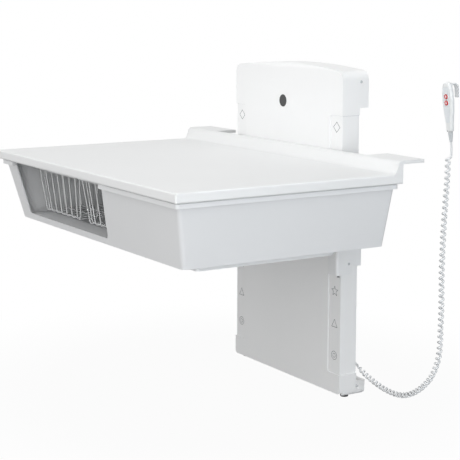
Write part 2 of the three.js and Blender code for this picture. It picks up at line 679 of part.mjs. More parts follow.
// Rubber feet under the guides
for (const [name, side] of SIDES) {
  const stud = RUBBER_FOOT_HEIGHT + GUIDE_FOOT - SEAT;
  const foot = turned([[0, 0], [RUBBER_FOOT_RADIUS - 1, 0], [RUBBER_FOOT_RADIUS, 1],
    [RUBBER_FOOT_RADIUS, RUBBER_FOOT_PAD], [RUBBER_FOOT_STUD, RUBBER_FOOT_PAD],
    [RUBBER_FOOT_STUD, stud], [0, stud]], 24);
  const footX = side * (guideOuter - GUIDE_WALL - RUBBER_FOOT_OUT);
  place(`${name}_foot`, foot.translate(footX, guideMiddleY, -RUBBER_FOOT_HEIGHT), 'rubber');
}

// Carriage: slides in the guides, spindle nuts on them, brackets round the guides
function carriageSlide(side) {
  const [x0, x1] = span(side, guideInner + GUIDE_WALL + RUNNING, guideOuter - GUIDE_WALL - RUNNING);
  const middle = side * guideMiddle;
  const neckHalf = GUIDE_SLOT / 2 - RUNNING;
  const back = guideBack - GUIDE_WALL - RUNNING;
  const neckEnd = bracketBackInside - SEAT;
  const top = slideBottom + SLIDE_LENGTH;
  const body = solid(block(x0, x1, guideFront + GUIDE_WALL + RUNNING, back, slideBottom, top));
  const neckTop = bracketRearBottom + BRACKET_REAR_HEIGHT;
  const neck = block(middle - neckHalf, middle + neckHalf, back - RUNNING, neckEnd, slideBottom, neckTop);
  const bore = rod('z', SLIDE_BORE, slideBottom - RUNNING, top + RUNNING, [middle, guideMiddleY]);
  return geometryOf(body.add(solid(neck)).subtract(solid(bore)));
}

function spindleNut(side) {
  const bottom = slideBottom + SLIDE_LENGTH + SEAT;
  const inner = SPINDLE_RADIUS + BORE_CLEAR;
  const ring = turned([[inner, 0], [NUT_RADIUS, 0], [NUT_RADIUS, NUT_HEIGHT], [inner, NUT_HEIGHT], [inner, 0]]);
  return ring.translate(side * guideMiddle, guideMiddleY, bottom);
}

function carriageBracket(side) {
  const webInside = bracketFace - BRACKET_WEB;
  const round = BRACKET_CORNER;
  const outline = new THREE.Shape();
  const blockInner = bracketFace - BRACKET_BLOCK_WIDTH;
  outline.moveTo(blockInner, bracketFront);
  outline.lineTo(bracketFace - round, bracketFront);
  outline.absarc(bracketFace - round, bracketFront + round, round, -Math.PI / 2, 0);
  outline.lineTo(bracketFace, bracketBackFace);
  outline.lineTo(bracketInner, bracketBackFace);
  outline.lineTo(bracketInner, bracketBackInside);
  outline.lineTo(webInside, bracketBackInside);
  outline.lineTo(webInside, bracketBlockBack);
  outline.lineTo(blockInner, bracketBlockBack);
  const blank = solid(prism(outline, 'z', bracketBottom, bracketTop));
  const far = bracketFace + RUNNING;
  const behind = bracketBackFace + RUNNING;
  const rearTop = bracketRearBottom + BRACKET_REAR_HEIGHT;
  const step = -BRACKET_STEP_DEPTH;
  const bend = BRACKET_STEP_ROUND;
  const below = new THREE.Shape();
  below.moveTo(step - bend, bracketBottom - RUNNING);
  below.lineTo(behind, bracketBottom - RUNNING);
  below.lineTo(behind, bracketRearBottom);
  below.lineTo(step, bracketRearBottom);
  below.lineTo(step, bracketBottom + bend);
  below.absarc(step - bend, bracketBottom + bend, bend, 0, -Math.PI / 2, true);
  const above = block(0, far, step, behind, rearTop, bracketTop + RUNNING);
  const relief = block(bracketFace - BRACKET_RELIEF, far, step, behind, bracketBottom, bracketTop + RUNNING);
  const cuts = [prism(below, 'x', 0, far), above, relief].map((cutter) => solid(cutter));
  const cut = cuts.reduce((left, cutter) => left.subtract(cutter), blank);
  return geometryOf(side > 0 ? cut : cut.mirror([1, 0, 0]));
}

for (const [name, side] of SIDES) {
  place(`${name}_carriage_slide`, carriageSlide(side), 'white_shell');
  place(`${name}_spindle_nut`, spindleNut(side), 'brass');
  place(`${name}_carriage_bracket`, carriageBracket(side), 'grey_paint');
  const head = turned([[0, 0], [SCREW_HEAD_RADIUS, 0], [SCREW_HEAD_RADIUS, SCREW_HEAD], [0, SCREW_HEAD]], 16);
  const screwX = side * (bracketFace + SEAT);
  const screwY = bracketFront + BRACKET_SCREW_BACK;
  head.rotateY(side * Math.PI / 2).translate(screwX, screwY, bracketBottom + BRACKET_SCREW_RISE);
  place(`${name}_bracket_screw`, head, 'steel');
  const levellingAcross = [side * (bracketFace - LEVELLING_RADIUS), bracketFront + BRACKET_BLOCK / 2];
  const levellingTop = bracketBottom - SEAT;
  const levelling = rod('z', LEVELLING_RADIUS, levellingTop - LEVELLING_LENGTH, levellingTop, levellingAcross, 12);
  place(`${name}_levelling_screw`, levelling, 'dark');
}

// Table frame: a crossbeam bolted to the brackets and four arms on it
function tube(axis, u0, u1, v0, v1, wall, from, to) {
  const shape = polygon([[u0, v0], [u1, v0], [u1, v1], [u0, v1]]);
  const hole = [[u0 + wall, v0 + wall], [u0 + wall, v1 - wall], [u1 - wall, v1 - wall], [u1 - wall, v0 + wall]];
  shape.holes.push(new THREE.Path(hole.map(([u, v]) => new THREE.Vector2(u, v))));
  return prism(shape, axis, from, to);
}

const beamSection = [beamFront, beamFront + BEAM, beamTop - BEAM, beamTop, BEAM_WALL];
const beam = tube('x', ...beamSection, -beamHalfLength, beamHalfLength);
place('table_crossbeam', beam, 'steel');
const armPlaces = [windowCentre - armOffset, windowCentre, windowCentre + armOffset, armRight];
armPlaces.forEach((x, i) => {
  const half = ARM_WIDTH / 2;
  const arm = tube('y', x - half, x + half, armBottom, armTop, ARM_WALL, armFront, armBack);
  place(`table_arm_${i + 1}`, arm, 'steel');
});

// Table top: slab with a rounded rim, an upstand with a cove at the back and two shelf plates
function topProfile() {
  const foot = topBack - UPSTAND_FOOT;
  const face = foot + (UPSTAND_FOOT - UPSTAND_NOSE + UPSTAND_COVE) / 2;
  const cove = UPSTAND_COVE;
  const nose = UPSTAND_NOSE;
  const front = -TOP_FRONT;
  const shelfBottom = shelfTop - SHELF_THICK;
  const shape = new THREE.Shape();
  shape.moveTo(front + TOP_EDGE, RIM_BOTTOM);
  shape.lineTo(topBack, RIM_BOTTOM);
  shape.lineTo(topBack, shelfBottom);
  shape.lineTo(0, shelfBottom);
  shape.lineTo(0, shelfTop);
  shape.lineTo(face + nose, shelfTop);
  shape.quadraticCurveTo(face + nose * 0.2, shelfTop, face, shelfTop - nose);
  shape.lineTo(foot + cove, topSurface + cove);
  shape.quadraticCurveTo(foot + cove * 0.8, topSurface, foot, topSurface);
  shape.lineTo(front + TOP_EDGE, topSurface);
  shape.absarc(front + TOP_EDGE, topSurface - TOP_EDGE, TOP_EDGE, Math.PI / 2, Math.PI);
  shape.absarc(front + TOP_EDGE, RIM_BOTTOM + TOP_EDGE, TOP_EDGE, Math.PI, 1.5 * Math.PI);
  return shape;
}

// What is taken off a long edge of the slab to round it.
function edgeCutter(side, up, to) {
  const x = TOP_HALF_WIDTH - TOP_EDGE;
  const z = up > 0 ? topSurface - TOP_EDGE : RIM_BOTTOM + TOP_EDGE;
  const radius = TOP_EDGE * 1.02;
  const points = [];
  for (const degrees of [-8, 14, 36, 54, 76, 98]) {
    const a = THREE.MathUtils.degToRad(degrees);
    points.push([x + radius * Math.cos(a), z + up * radius * Math.sin(a)]);
  }
  const far = 2 * TOP_EDGE;
  points.push([points.at(-1)[0], z + up * far], [x + far, z + up * far], [x + far, points[0][1]]);
  return prism(polygon(points.map(([u, v]) => [side * u, v])), 'y', -TOP_FRONT - far, to);
}

function tableTop() {
  const far = TOP_HALF_WIDTH + TOP_EDGE;
  const plan = roundedRectangle(-TOP_HALF_WIDTH, TOP_HALF_WIDTH, -TOP_FRONT, -SHELF_WALL_GAP,
    TOP_CORNER, TOP_CORNER / 2);
  let top = solid(prism(topProfile(), 'x', -far, far));
  top = top.intersect(solid(prism(plan, 'z', RIM_BOTTOM - TOP_EDGE, shelfTop + TOP_EDGE)));
  const between = block(-shelfInner, shelfInner, topBack, TOP_EDGE, topSurface, shelfTop + TOP_EDGE);
  top = top.subtract(solid(between));
  for (const [, side] of SIDES) {
    top = top.subtract(solid(edgeCutter(side, 1, topBack - UPSTAND_FOOT)));
    top = top.subtract(solid(edgeCutter(side, -1, 0)));
  }
  const half = TOP_HALF_WIDTH - TOP_LIP;
  const hollow = block(-half, half, -TOP_FRONT + TOP_LIP, topBack - TOP_LIP, RIM_BOTTOM - RUNNING, slabBottom);
  return geometryOf(top.subtract(solid(hollow)));
}

place('table_top', tableTop(), 'white_shell');

// Tub: sloping walls, a flange under the rim, a window in the front and notches for the brackets
function tub() {
  const wall = TUB_WALL;
  const outer = loft([
    ringAt(tubFloor, footHalfWidth, footFront, footBack, TUB_CORNER),
    ringAt(flangeBottom, mouthHalfWidth, mouthFront, mouthBack, TUB_CORNER),
    ringAt(tubRim, mouthHalfWidth, mouthFront, mouthBack, TUB_CORNER),
  ]);
  const innerMouth = [mouthHalfWidth - wall, mouthFront + wall, mouthBack - wall, TUB_CORNER - wall];
  const inner = loft([
    ringAt(tubFloor + wall, footHalfWidth - wall, footFront + wall, footBack - wall, TUB_CORNER - wall),
    ringAt(flangeBottom, ...innerMouth),
    ringAt(tubRim + RUNNING, ...innerMouth),
  ]);
  const flangeHalf = mouthHalfWidth + FLANGE_OUT;
  const flangeBack = mouthBack + FLANGE_BACK;
  const flange = roundedRectangle(-flangeHalf, flangeHalf, mouthFront - FLANGE_OUT, flangeBack, FLANGE_OUT);
  let shell = solid(outer).add(solid(prism(flange, 'z', flangeBottom, flangeTop, 4))).subtract(solid(inner));

  const head = RIM_BOTTOM + RUNNING;
  const r = WINDOW_ROUND;
  const windowOutline = new THREE.Shape();
  windowOutline.moveTo(windowCentre - WINDOW_SILL_HALF_WIDTH + r, sill);
  windowOutline.lineTo(windowCentre + WINDOW_SILL_HALF_WIDTH - r, sill);
  windowOutline.quadraticCurveTo(windowCentre + WINDOW_SILL_HALF_WIDTH, sill,
    windowCentre + WINDOW_SILL_HALF_WIDTH + r * 0.2, sill + r);
  windowOutline.lineTo(windowCentre + WINDOW_HEAD_HALF_WIDTH, head);
  windowOutline.lineTo(windowCentre - WINDOW_HEAD_HALF_WIDTH, head);
  windowOutline.lineTo(windowCentre - WINDOW_SILL_HALF_WIDTH - r * 0.2, sill + r);
  windowOutline.quadraticCurveTo(windowCentre - WINDOW_SILL_HALF_WIDTH, sill,
    windowCentre - WINDOW_SILL_HALF_WIDTH + r, sill);
  const windowFront = mouthFront - FLANGE_OUT - RUNNING;
  shell = shell.subtract(solid(prism(windowOutline, 'y', windowFront, footFront + 2 * wall, 4)));

  for (const [, side] of SIDES) {
    const [x0, x1] = span(side, bracketInner - BRACKET_NOTCH, bracketFace + BRACKET_NOTCH);
    const notchFront = Math.min(footBack - wall, bracketFront) - RUNNING;
    const notch = block(x0, x1, notchFront, 0, tubFloor - RUNNING, bracketTop + BRACKET_NOTCH);
    shell = shell.subtract(solid(notch));
  }
  return geometryOf(shell);
}

place('tub', tub(), 'grey_paint');

// Basket runners: flat bars under the arms, with their edges under the basket rims
const runnerLip = BASKET_SIDE_PLAY + RUNNER_GRIP;
const armHalf = ARM_WIDTH / 2;
const runners = { left: [0, 1], middle: [1, 1], right: [1, 0] };
Object.entries(runners).forEach(([name, [toLeft, toRight]], i) => {
  const x0 = armPlaces[i] - armHalf - toLeft * runnerLip;
  const x1 = armPlaces[i] + armHalf + toRight * runnerLip;
  const bar = block(x0, x1, armFront, armBack - BEAM, runnerTop - RUNNER_THICK, runnerTop);
  place(`${name}_basket_runner`, bar, 'steel');
});

// Wire baskets: long and cross wires bent up at the ends, welded to a rim
function bentWire(corners, side, radius, loop = false) {
  const points = corners.map((p) => new THREE.Vector3(...p));
  const ahead = points.slice(1).map((p, i) => p.clone().sub(points[i]).normalize());
  const across = new THREE.Vector3(...side);
  across.addScaledVector(ahead[0], -across.dot(ahead[0])).normalize();
  const up = ahead[0].clone().cross(across);
  let ring = [];
  for (let k = 0; k < BASKET_WIRE_SIDES; k += 1) {
    const a = 2 * Math.PI * k / BASKET_WIRE_SIDES;
    const spot = points[0].clone().addScaledVector(across, radius * Math.cos(a));
    ring.push(spot.addScaledVector(up, radius * Math.sin(a)));
  }
  const rings = [ring];
  for (let i = 1; i < points.length; i += 1) {
    const along = ahead[i - 1];
    const square = along.clone().add(ahead[i] ?? along);
    ring = ring.map((spot) => {
      const run = points[i].clone().sub(spot).dot(square) / along.dot(square);
      return spot.clone().addScaledVector(along, run);
    });
    rings.push(ring);
  }
  if (loop) rings.pop();
  return loft(rings.map((spots) => spots.map((p) => p.toArray())), loop);
}

function basket(centre) {
  const rimZ = basketRimZ;
  const footZ = basketFloor;
  const front = basketFront;
  const back = front + BASKET_LENGTH;
  const rim = BASKET_RIM_HALF_WIDTH;
  const wireTop = rim - BASKET_RIM_RADIUS - BASKET_WIRE_RADIUS * 0.7;
  const foot = BASKET_FOOT_HALF_WIDTH;
  const crossZ = footZ + BASKET_WIRE_RADIUS * 1.5;
  const loop = [[0, back], [-rim, back], [-rim, front], [rim, front], [rim, back], [0, back]];
  const wires = [bentWire(loop.map(([x, y]) => [centre + x, y, rimZ]), [0, 0, 1], BASKET_RIM_RADIUS, true)];
  for (let i = 0; i < BASKET_LONG_WIRES; i += 1) {
    const share = i / (BASKET_LONG_WIRES - 1) * 2 - 1;
    const high = centre + share * wireTop * 0.97;
    const low = centre + share * foot * 0.97;
    wires.push(bentWire([[high, front, rimZ], [low, front + BASKET_LEAN, footZ],
      [low, back - BASKET_LEAN, footZ], [high, back, rimZ]], [1, 0, 0], BASKET_WIRE_RADIUS));
  }
  const reach = BASKET_LENGTH / 2 - BASKET_LEAN;
  for (let i = 0; i < BASKET_CROSS_WIRES; i += 1) {
    const share = i / (BASKET_CROSS_WIRES - 1) * 2 - 1;
    const high = (front + back) / 2 + share * (reach + BASKET_LEAN * 0.75) * 0.95;
    const low = (front + back) / 2 + share * reach * 0.95;
    wires.push(bentWire([[centre - rim, high, rimZ], [centre - wireTop, high, rimZ], [centre - foot, low, crossZ],
      [centre + foot, low, crossZ], [centre + wireTop, high, rimZ], [centre + rim, high, rimZ]],
    [0, 1, 0], BASKET_WIRE_RADIUS));
  }
  return geometryOf(wires.map(solid).reduce((whole, bar) => whole.add(bar)));
}

place('left_basket', basket(windowCentre - basketOffset), 'steel');
place('right_basket', basket(windowCentre + basketOffset), 'steel');

// Safety plate under the tub: a folded tray hung on four bolts, with a flag in a slot sensor
const hangerX = plateHalfWidth - HANGER_INSET;
const hangerPlaces = [[-hangerX, plateFront + HANGER_INSET], [hangerX, plateFront + HANGER_INSET],
  [-hangerX, plateBack - HANGER_INSET], [hangerX, plateBack - HANGER_INSET]];

function safetyPlate() {
  const sheetBottom = plateTop - PLATE_SHEET;
  const inside = PLATE_SHEET;
  const outline = roundedRectangle(-plateHalfWidth, plateHalfWidth, plateFront, plateBack,
    PLATE_FRONT_CORNER, PLATE_BACK_CORNER);
  const inner = roundedRectangle(inside - plateHalfWidth, plateHalfWidth - inside, plateFront + inside,
    plateBack - inside, PLATE_FRONT_CORNER - inside, PLATE_BACK_CORNER - inside);
  let plate = solid(prism(outline, 'z', plateBottom, plateTop));
  plate = plate.subtract(solid(prism(inner, 'z', plateBottom - RUNNING, sheetBottom)));
  const flagHalf = FLAG_WIDTH / 2;
  const flag = block(-flagHalf, flagHalf, plateBack - inside / 2, plateBack + FLAG_LENGTH, sheetBottom, plateTop);
  plate = plate.add(solid(flag));
  for (const across of hangerPlaces) {
    const hole = rod('z', HANGER_RADIUS + RUNNING, plateBottom, plateTop + RUNNING, across, 16);
    plate = plate.subtract(solid(hole));
  }
  return geometryOf(plate);
}

place('safety_plate', safetyPlate(), 'aluminium');
hangerPlaces.forEach(([x, y], i) => {
  const headTop = plateTop - PLATE_SHEET - SEAT;
  const top = tubFloor - SEAT - headTop;
  const bolt = turned([[0, -HANGER_HEAD], [HANGER_HEAD_RADIUS, -HANGER_HEAD], [HANGER_HEAD_RADIUS, 0],
    [HANGER_RADIUS, 0], [HANGER_RADIUS, top], [0, top]], 16);
  place(`plate_hanger_${i + 1}`, bolt.translate(x, y, headTop), 'steel');
});

const slotHalf = FLAG_WIDTH / 2 + RUNNING;
const slotBack = plateBack + FLAG_LENGTH + RUNNING;
const slotBottom = plateTop - PLATE_SHEET - RUNNING;
const slotTop = plateTop + PLATE_LIFT + RUNNING;
const sensorTop = tubFloor - SEAT;
const sensorHalf = slotHalf + SENSOR_WALL;
const sensorFront = plateBack + RUNNING;
const sensorBack = slotBack + SENSOR_WALL;
const sensorBottom = slotBottom - SENSOR_WALL;
const sensor = solid(block(-sensorHalf, sensorHalf, sensorFront, sensorBack, sensorBottom, sensorTop));
const sensorSlot = block(-slotHalf, slotHalf, sensorFront - RUNNING, slotBack, slotBottom, slotTop);
place('safety_sensor', geometryOf(sensor.subtract(solid(sensorSlot))), 'dark');

// Hand control: two shells round a circuit board, a hook at the back, a label and two buttons
const handset = new THREE.Group();
handset.position.set(HANDSET_X, HANDSET_Y, HANDSET_Z);
handset.rotation.x = tilt;
assembly.add(handset);

function handsetOutline(inset) {
  const foot = HANDSET_FOOT_HALF_WIDTH - inset;
  const wide = HANDSET_HALF_WIDTH - inset;
  const top = HANDSET_LENGTH - inset;
  const widest = HANDSET_WIDEST;
  const heel = foot * 0.5;
  const shoulder = wide * 0.8;
  const shape = new THREE.Shape();
  shape.moveTo(heel - foot, inset);
  shape.lineTo(foot - heel, inset);
  shape.quadraticCurveTo(foot, inset, foot, inset + heel);
  shape.bezierCurveTo(foot * 1.1, widest * 0.45, wide, widest * 0.6, wide, widest);
  shape.bezierCurveTo(wide, top - shoulder * 0.8, wide - shoulder * 0.4, top, wide - shoulder, top);
  shape.lineTo(shoulder - wide, top);
  shape.bezierCurveTo(shoulder * 0.4 - wide, top, -wide, top - shoulder * 0.8, -wide, widest);
  shape.bezierCurveTo(-wide, widest * 0.6, -foot * 1.1, widest * 0.45, -foot, inset + heel);
  shape.quadraticCurveTo(-foot, inset, heel - foot, inset);
  return shape;
}

const handsetHalf = HANDSET_THICK / 2;
const handsetFar = HANDSET_LENGTH + HANDSET_HALF_WIDTH;
const buttonPlaces = { up: BUTTON_UP_Z, down: BUTTON_UP_Z - BUTTON_SPACING };

function handsetBlank() {
  const body = new THREE.ExtrudeGeometry(handsetOutline(HANDSET_ROUND), {
    depth: HANDSET_THICK - 2 * HANDSET_ROUND, bevelEnabled: true, bevelSize: HANDSET_ROUND,
    bevelThickness: HANDSET_ROUND, bevelSegments: 3, curveSegments: 5,
  });
  body.translate(0, 0, HANDSET_ROUND - handsetHalf).applyMatrix4(OUTLINE_FRAMES.y);
  const deep = handsetHalf - HANDSET_WALL;
  const cavity = prism(handsetOutline(HANDSET_ROUND + HANDSET_WALL), 'y', -deep, deep);
  return solid(body).subtract(solid(cavity));
}

// The label fills the flat of the front and is cut straight at both ends.
function labelSolid(margin, from, to) {
  const outline = prism(handsetOutline(HANDSET_ROUND + margin), 'y', from, to);
  const low = LABEL_BOTTOM + margin;
  const high = LABEL_TOP - margin;
  const ends = block(-handsetFar, handsetFar, from - RUNNING, to + RUNNING, low, high);
  return solid(outline).intersect(solid(ends));
}

function frontShell() {
  const half = block(-handsetFar, handsetFar, -HANDSET_THICK, -SEAT / 2, -handsetFar, handsetFar);
  let shell = handsetBlank().intersect(solid(half));
  shell = shell.subtract(labelSolid(LABEL_MARGIN - SEAT, -HANDSET_THICK, -handsetHalf + LABEL_RECESS));
  for (const z of Object.values(buttonPlaces)) {
    shell = shell.subtract(solid(rod('y', BUTTON_RADIUS + BUTTON_CLEAR, -HANDSET_THICK, 0, [0, z], 24)));
  }
  return geometryOf(shell);
}

// The hook is a strap that rises off the back of the rear shell, turns over and comes down behind it.
function hookOutline() {
  const inside = HOOK_REACH / 2;
  const outside = inside + HOOK_THICK;
  const bend = handsetHalf + inside;
  const rise = HANDSET_LENGTH - HOOK_BELOW_TOP - outside;
  const shape = new THREE.Shape();
  shape.moveTo(bend - outside, rise - HOOK_THICK);
  shape.lineTo(bend - inside, rise - HOOK_THICK);
  shape.lineTo(bend - inside, rise);
  shape.absarc(bend, rise, inside, Math.PI, 0, true);
  shape.lineTo(bend + inside, HANDSET_LENGTH - HOOK_DROP);
  shape.lineTo(bend + outside, HANDSET_LENGTH - HOOK_DROP);
  shape.lineTo(bend + outside, rise);
  shape.absarc(bend, rise, outside, 0, Math.PI, false);
  return shape;
}

function rearShell() {
  const half = block(-handsetFar, handsetFar, SEAT / 2, HANDSET_THICK, -handsetFar, handsetFar);
  const hook = prism(hookOutline(), 'x', -HOOK_WIDTH / 2, HOOK_WIDTH / 2, 8);
  return geometryOf(handsetBlank().intersect(solid(half)).add(solid(hook)));
}

place('handset_front_shell', frontShell(), 'white_shell', handset);
place('handset_rear_shell', rearShell(), 'grey_paint', handset);

const labelBack = -handsetHalf + LABEL_RECESS - SEAT;
let label = labelSolid(LABEL_MARGIN, labelBack - LABEL_THICK, labelBack);
for (const z of Object.values(buttonPlaces)) {
  label = label.subtract(solid(rod('y', BUTTON_RADIUS + BUTTON_CLEAR, -HANDSET_THICK, 0, [0, z], 24)));
}
place('handset_label', geometryOf(label), 'label', handset);

const buttonFront = labelBack - LABEL_THICK - BUTTON_PROUD;
const boardFront = SEAT - BOARD_THICK / 2;
const buttonBack = boardFront - BUTTON_TRAVEL - SEAT;
for (const [name, z] of Object.entries(buttonPlaces)) {
  place(`${name}_button`, rod('y', BUTTON_RADIUS, buttonFront, buttonBack, [0, z], 24), 'red', handset);
}
const board = prism(handsetOutline(HANDSET_ROUND + HANDSET_WALL + SEAT), 'y', boardFront, boardFront + BOARD_THICK);
place('handset_board', board, 'green_board', handset);

const reliefProfile = [[0, -RELIEF_LENGTH], [RELIEF_END_RADIUS, -RELIEF_LENGTH]];
for (let i = 0; i < RELIEF_RIBS; i += 1) {
  const share = (i + 0.5) / RELIEF_RIBS;
  const radius = THREE.MathUtils.lerp(RELIEF_END_RADIUS, RELIEF_TOP_RADIUS, share);
  const z = share * (RELIEF_LENGTH - RELIEF_COLLAR) - RELIEF_LENGTH;
  reliefProfile.push([radius - RELIEF_RIB, z - RELIEF_RIB], [radius, z], [radius, z + RELIEF_RIB]);
}
reliefProfile.push([RELIEF_TOP_RADIUS, -RELIEF_COLLAR], [RELIEF_TOP_RADIUS, -SEAT], [0, -SEAT]);
place('strain_relief', turned(reliefProfile, 16), 'grey_rubber', handset);

// Curly cord: straight down from the strain relief, curled along the route, straight into the gland
function cordPoints() {
  const down = new THREE.Vector3(0, Math.sin(tilt), -Math.cos(tilt));
  const start = new THREE.Vector3(HANDSET_X, HANDSET_Y, HANDSET_Z).addScaledVector(down, RELIEF_LENGTH + SEAT);
  const end = new THREE.Vector3(glandStart + GLAND_LENGTH + SEAT, ...glandAcross);
  const straight = 2 * CORD_RADIUS;
  const below = start.clone().addScaledVector(down, straight);
  const beside = end.clone().add(new THREE.Vector3(straight, 0, 0));
  const route = CORD_ROUTE.map((p) => new THREE.Vector3(...p));
  const axis = new THREE.CatmullRomCurve3([...route, beside, end], false, 'centripetal');
  const length = axis.getLength();
  const front = new THREE.Vector3(0, -1, 0);
  const total = CURLS * CURL_STEPS;
  const curls = [];
  for (let i = 0; i <= total; i += 1) {
    const share = (length - TAIL_LENGTH) / length * i / total;
    const ahead = axis.getTangentAt(share);
    const out = ahead.clone().cross(front).normalize();
    const across = ahead.clone().cross(out).normalize();
    const opening = Math.max(0, 1 - 2 * i / CURL_STEPS);
    const closing = Math.min(1, (total - i) / (2 * CURL_STEPS));
    const radius = THREE.MathUtils.lerp(CURL_RADIUS, LEAD_OFFSET, opening) * closing;
    const turn = THREE.MathUtils.degToRad(CURL_START) + 2 * Math.PI * i / CURL_STEPS;
    const point = axis.getPointAt(share);
    point.addScaledVector(out, radius * Math.cos(turn));
    curls.push(point.addScaledVector(across, radius * Math.sin(turn)));
  }
  const points = [start, below];
  const endSteps = 3;
  for (let i = 1; i <= endSteps; i += 1) {
    points.push(below.clone().lerp(curls[0], i / (endSteps + 1)));
  }
  points.push(...curls);
  for (let i = 1; i <= endSteps; i += 1) {
    const along = length - TAIL_LENGTH + (TAIL_LENGTH - straight) * i / (endSteps + 1);
    points.push(axis.getPointAt(along / length));
  }
  points.push(beside, end);
  return points;
}

// Rings of points square to the cord, each turned as little as possible from the one before.
function cordRings(points) {
  const rings = [];
  let side = new THREE.Vector3(1, 0, 0);
  points.forEach((point, i) => {
    const before = points[Math.max(i - 1, 0)];
    const after = points[Math.min(i + 1, points.length - 1)];
    const ends = i === 0 || i === points.length - 1;
    const ahead = after.clone().sub(before).normalize();
    const into = point.clone().sub(before).normalize();
    const onward = after.clone().sub(point).normalize();
    side = side.clone().addScaledVector(ahead, -side.dot(ahead)).normalize();
    const up = ahead.clone().cross(side);
    const bend = ends ? 1 : Math.sqrt((1 + into.dot(onward)) / 2);
    const ring = [];
    for (let k = 0; k < CORD_SIDES; k += 1) {
      const a = 2 * Math.PI * k / CORD_SIDES;
      const spot = point.clone().addScaledVector(side, CORD_RADIUS * Math.cos(a) / Math.max(bend, 0.9));
      spot.addScaledVector(up, CORD_RADIUS * Math.sin(a));
      ring.push([spot.x, spot.y, spot.z]);
    }
    rings.push(ring);
  });
  return rings;
}

// The least gap between stretches of the cord that aren't neighbours along it.
function leastGap(points) {
  let least = Infinity;
  const apart = CURL_STEPS - 2;
  for (let i = 0; i < points.length; i += 1) {
    for (let j = i + apart; j < points.length; j += 1) {
      least = Math.min(least, points[i].distanceTo(points[j]) - 2 * CORD_RADIUS);
    }
  }
  return least;
}

const cord = cordPoints();
console.log(`curly cord: least gap to itself ${leastGap(cord).toFixed(2)} mm over ${CURLS} curls`);
place('curly_cord', loft(cordRings(cord)), 'cord');

export default part;
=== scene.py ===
import math

import bmesh
import bpy
from mathutils import Matrix, Vector


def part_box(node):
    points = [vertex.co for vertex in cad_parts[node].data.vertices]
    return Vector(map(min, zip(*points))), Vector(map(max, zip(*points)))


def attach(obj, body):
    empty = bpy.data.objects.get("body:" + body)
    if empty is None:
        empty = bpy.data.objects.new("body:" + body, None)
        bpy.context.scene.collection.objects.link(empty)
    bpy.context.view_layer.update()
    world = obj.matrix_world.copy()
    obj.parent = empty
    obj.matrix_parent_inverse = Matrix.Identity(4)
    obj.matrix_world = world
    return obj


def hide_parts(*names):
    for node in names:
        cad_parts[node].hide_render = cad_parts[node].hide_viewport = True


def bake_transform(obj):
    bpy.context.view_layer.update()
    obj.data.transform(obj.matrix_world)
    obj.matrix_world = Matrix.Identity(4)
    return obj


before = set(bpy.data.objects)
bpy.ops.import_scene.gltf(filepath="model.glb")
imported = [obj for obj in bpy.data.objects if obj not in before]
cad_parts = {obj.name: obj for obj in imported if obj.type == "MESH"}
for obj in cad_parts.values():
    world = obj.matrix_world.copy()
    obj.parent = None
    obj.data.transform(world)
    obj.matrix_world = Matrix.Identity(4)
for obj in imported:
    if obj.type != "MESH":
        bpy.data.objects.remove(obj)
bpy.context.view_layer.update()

# The studio: a camera to the right of the table and a little above it, as in the photograph.
# The light is even and soft. Heights count from the lower wall rail, so the floor is 30 mm below zero.
scene = bpy.context.scene
scene.view_settings.view_transform = "Standard"

camera_data = bpy.data.cameras.new("photo_camera")
camera_data.sensor_width = 36
camera_data.lens = 104.7
camera_data.shift_x = 0.050
camera_data.shift_y = -0.140
camera = bpy.data.objects.new("photo_camera", camera_data)
camera.location = (3.332, -2.3915, 1.131)
camera.rotation_euler = (math.radians(90 - 7.09), 0, math.radians(58.8))
scene.collection.objects.link(camera)
scene.camera = camera


def linear(hex_colour):
    """An sRGB hex colour as linear red, green, blue and alpha."""
    parts = [int(hex_colour[i:i + 2], 16) / 255 for i in (1, 3, 5)]
    return [c / 12.92 if c <= 0.04045 else ((c + 0.055) / 1.055) ** 2.4 for c in parts] + [1]


def node(tree, kind, inputs=None, **settings):
    """Adds a node to a tree, sets it up, and links or sets its inputs."""
    made = tree.nodes.new(kind)
    for name, value in settings.items():
        setattr(made, name, value)
    for name, value in (inputs or {}).items():
        if isinstance(value, bpy.types.NodeSocket):
            tree.links.new(value, made.inputs[name])
        else:
            made.inputs[name].default_value = value
    return made


# White to the eye and in reflections, and an even soft light on the object.
EVEN_LIGHT = 0.403
world = bpy.data.worlds.new("studio")
world.use_nodes = True
scene.world = world
sky = world.node_tree
sky.nodes.clear()
ray = node(sky, "ShaderNodeLightPath")
seen = node(sky, "ShaderNodeMath", {0: ray.outputs["Is Camera Ray"], 1: ray.outputs["Is Glossy Ray"]},
            operation="MAXIMUM")
seen = node(sky, "ShaderNodeMath", {0: seen.outputs[0], 1: ray.outputs["Is Transmission Ray"]},
            operation="MAXIMUM")
even = node(sky, "ShaderNodeBackground", {"Color": linear("#FFFFFF"), "Strength": EVEN_LIGHT})
white = node(sky, "ShaderNodeBackground", {"Color": linear("#FFFFFF"), "Strength": 1.0})
both = node(sky, "ShaderNodeMixShader", {0: seen.outputs[0], 1: even.outputs[0], 2: white.outputs[0]})
node(sky, "ShaderNodeOutputWorld", {"Surface": both.outputs[0]})

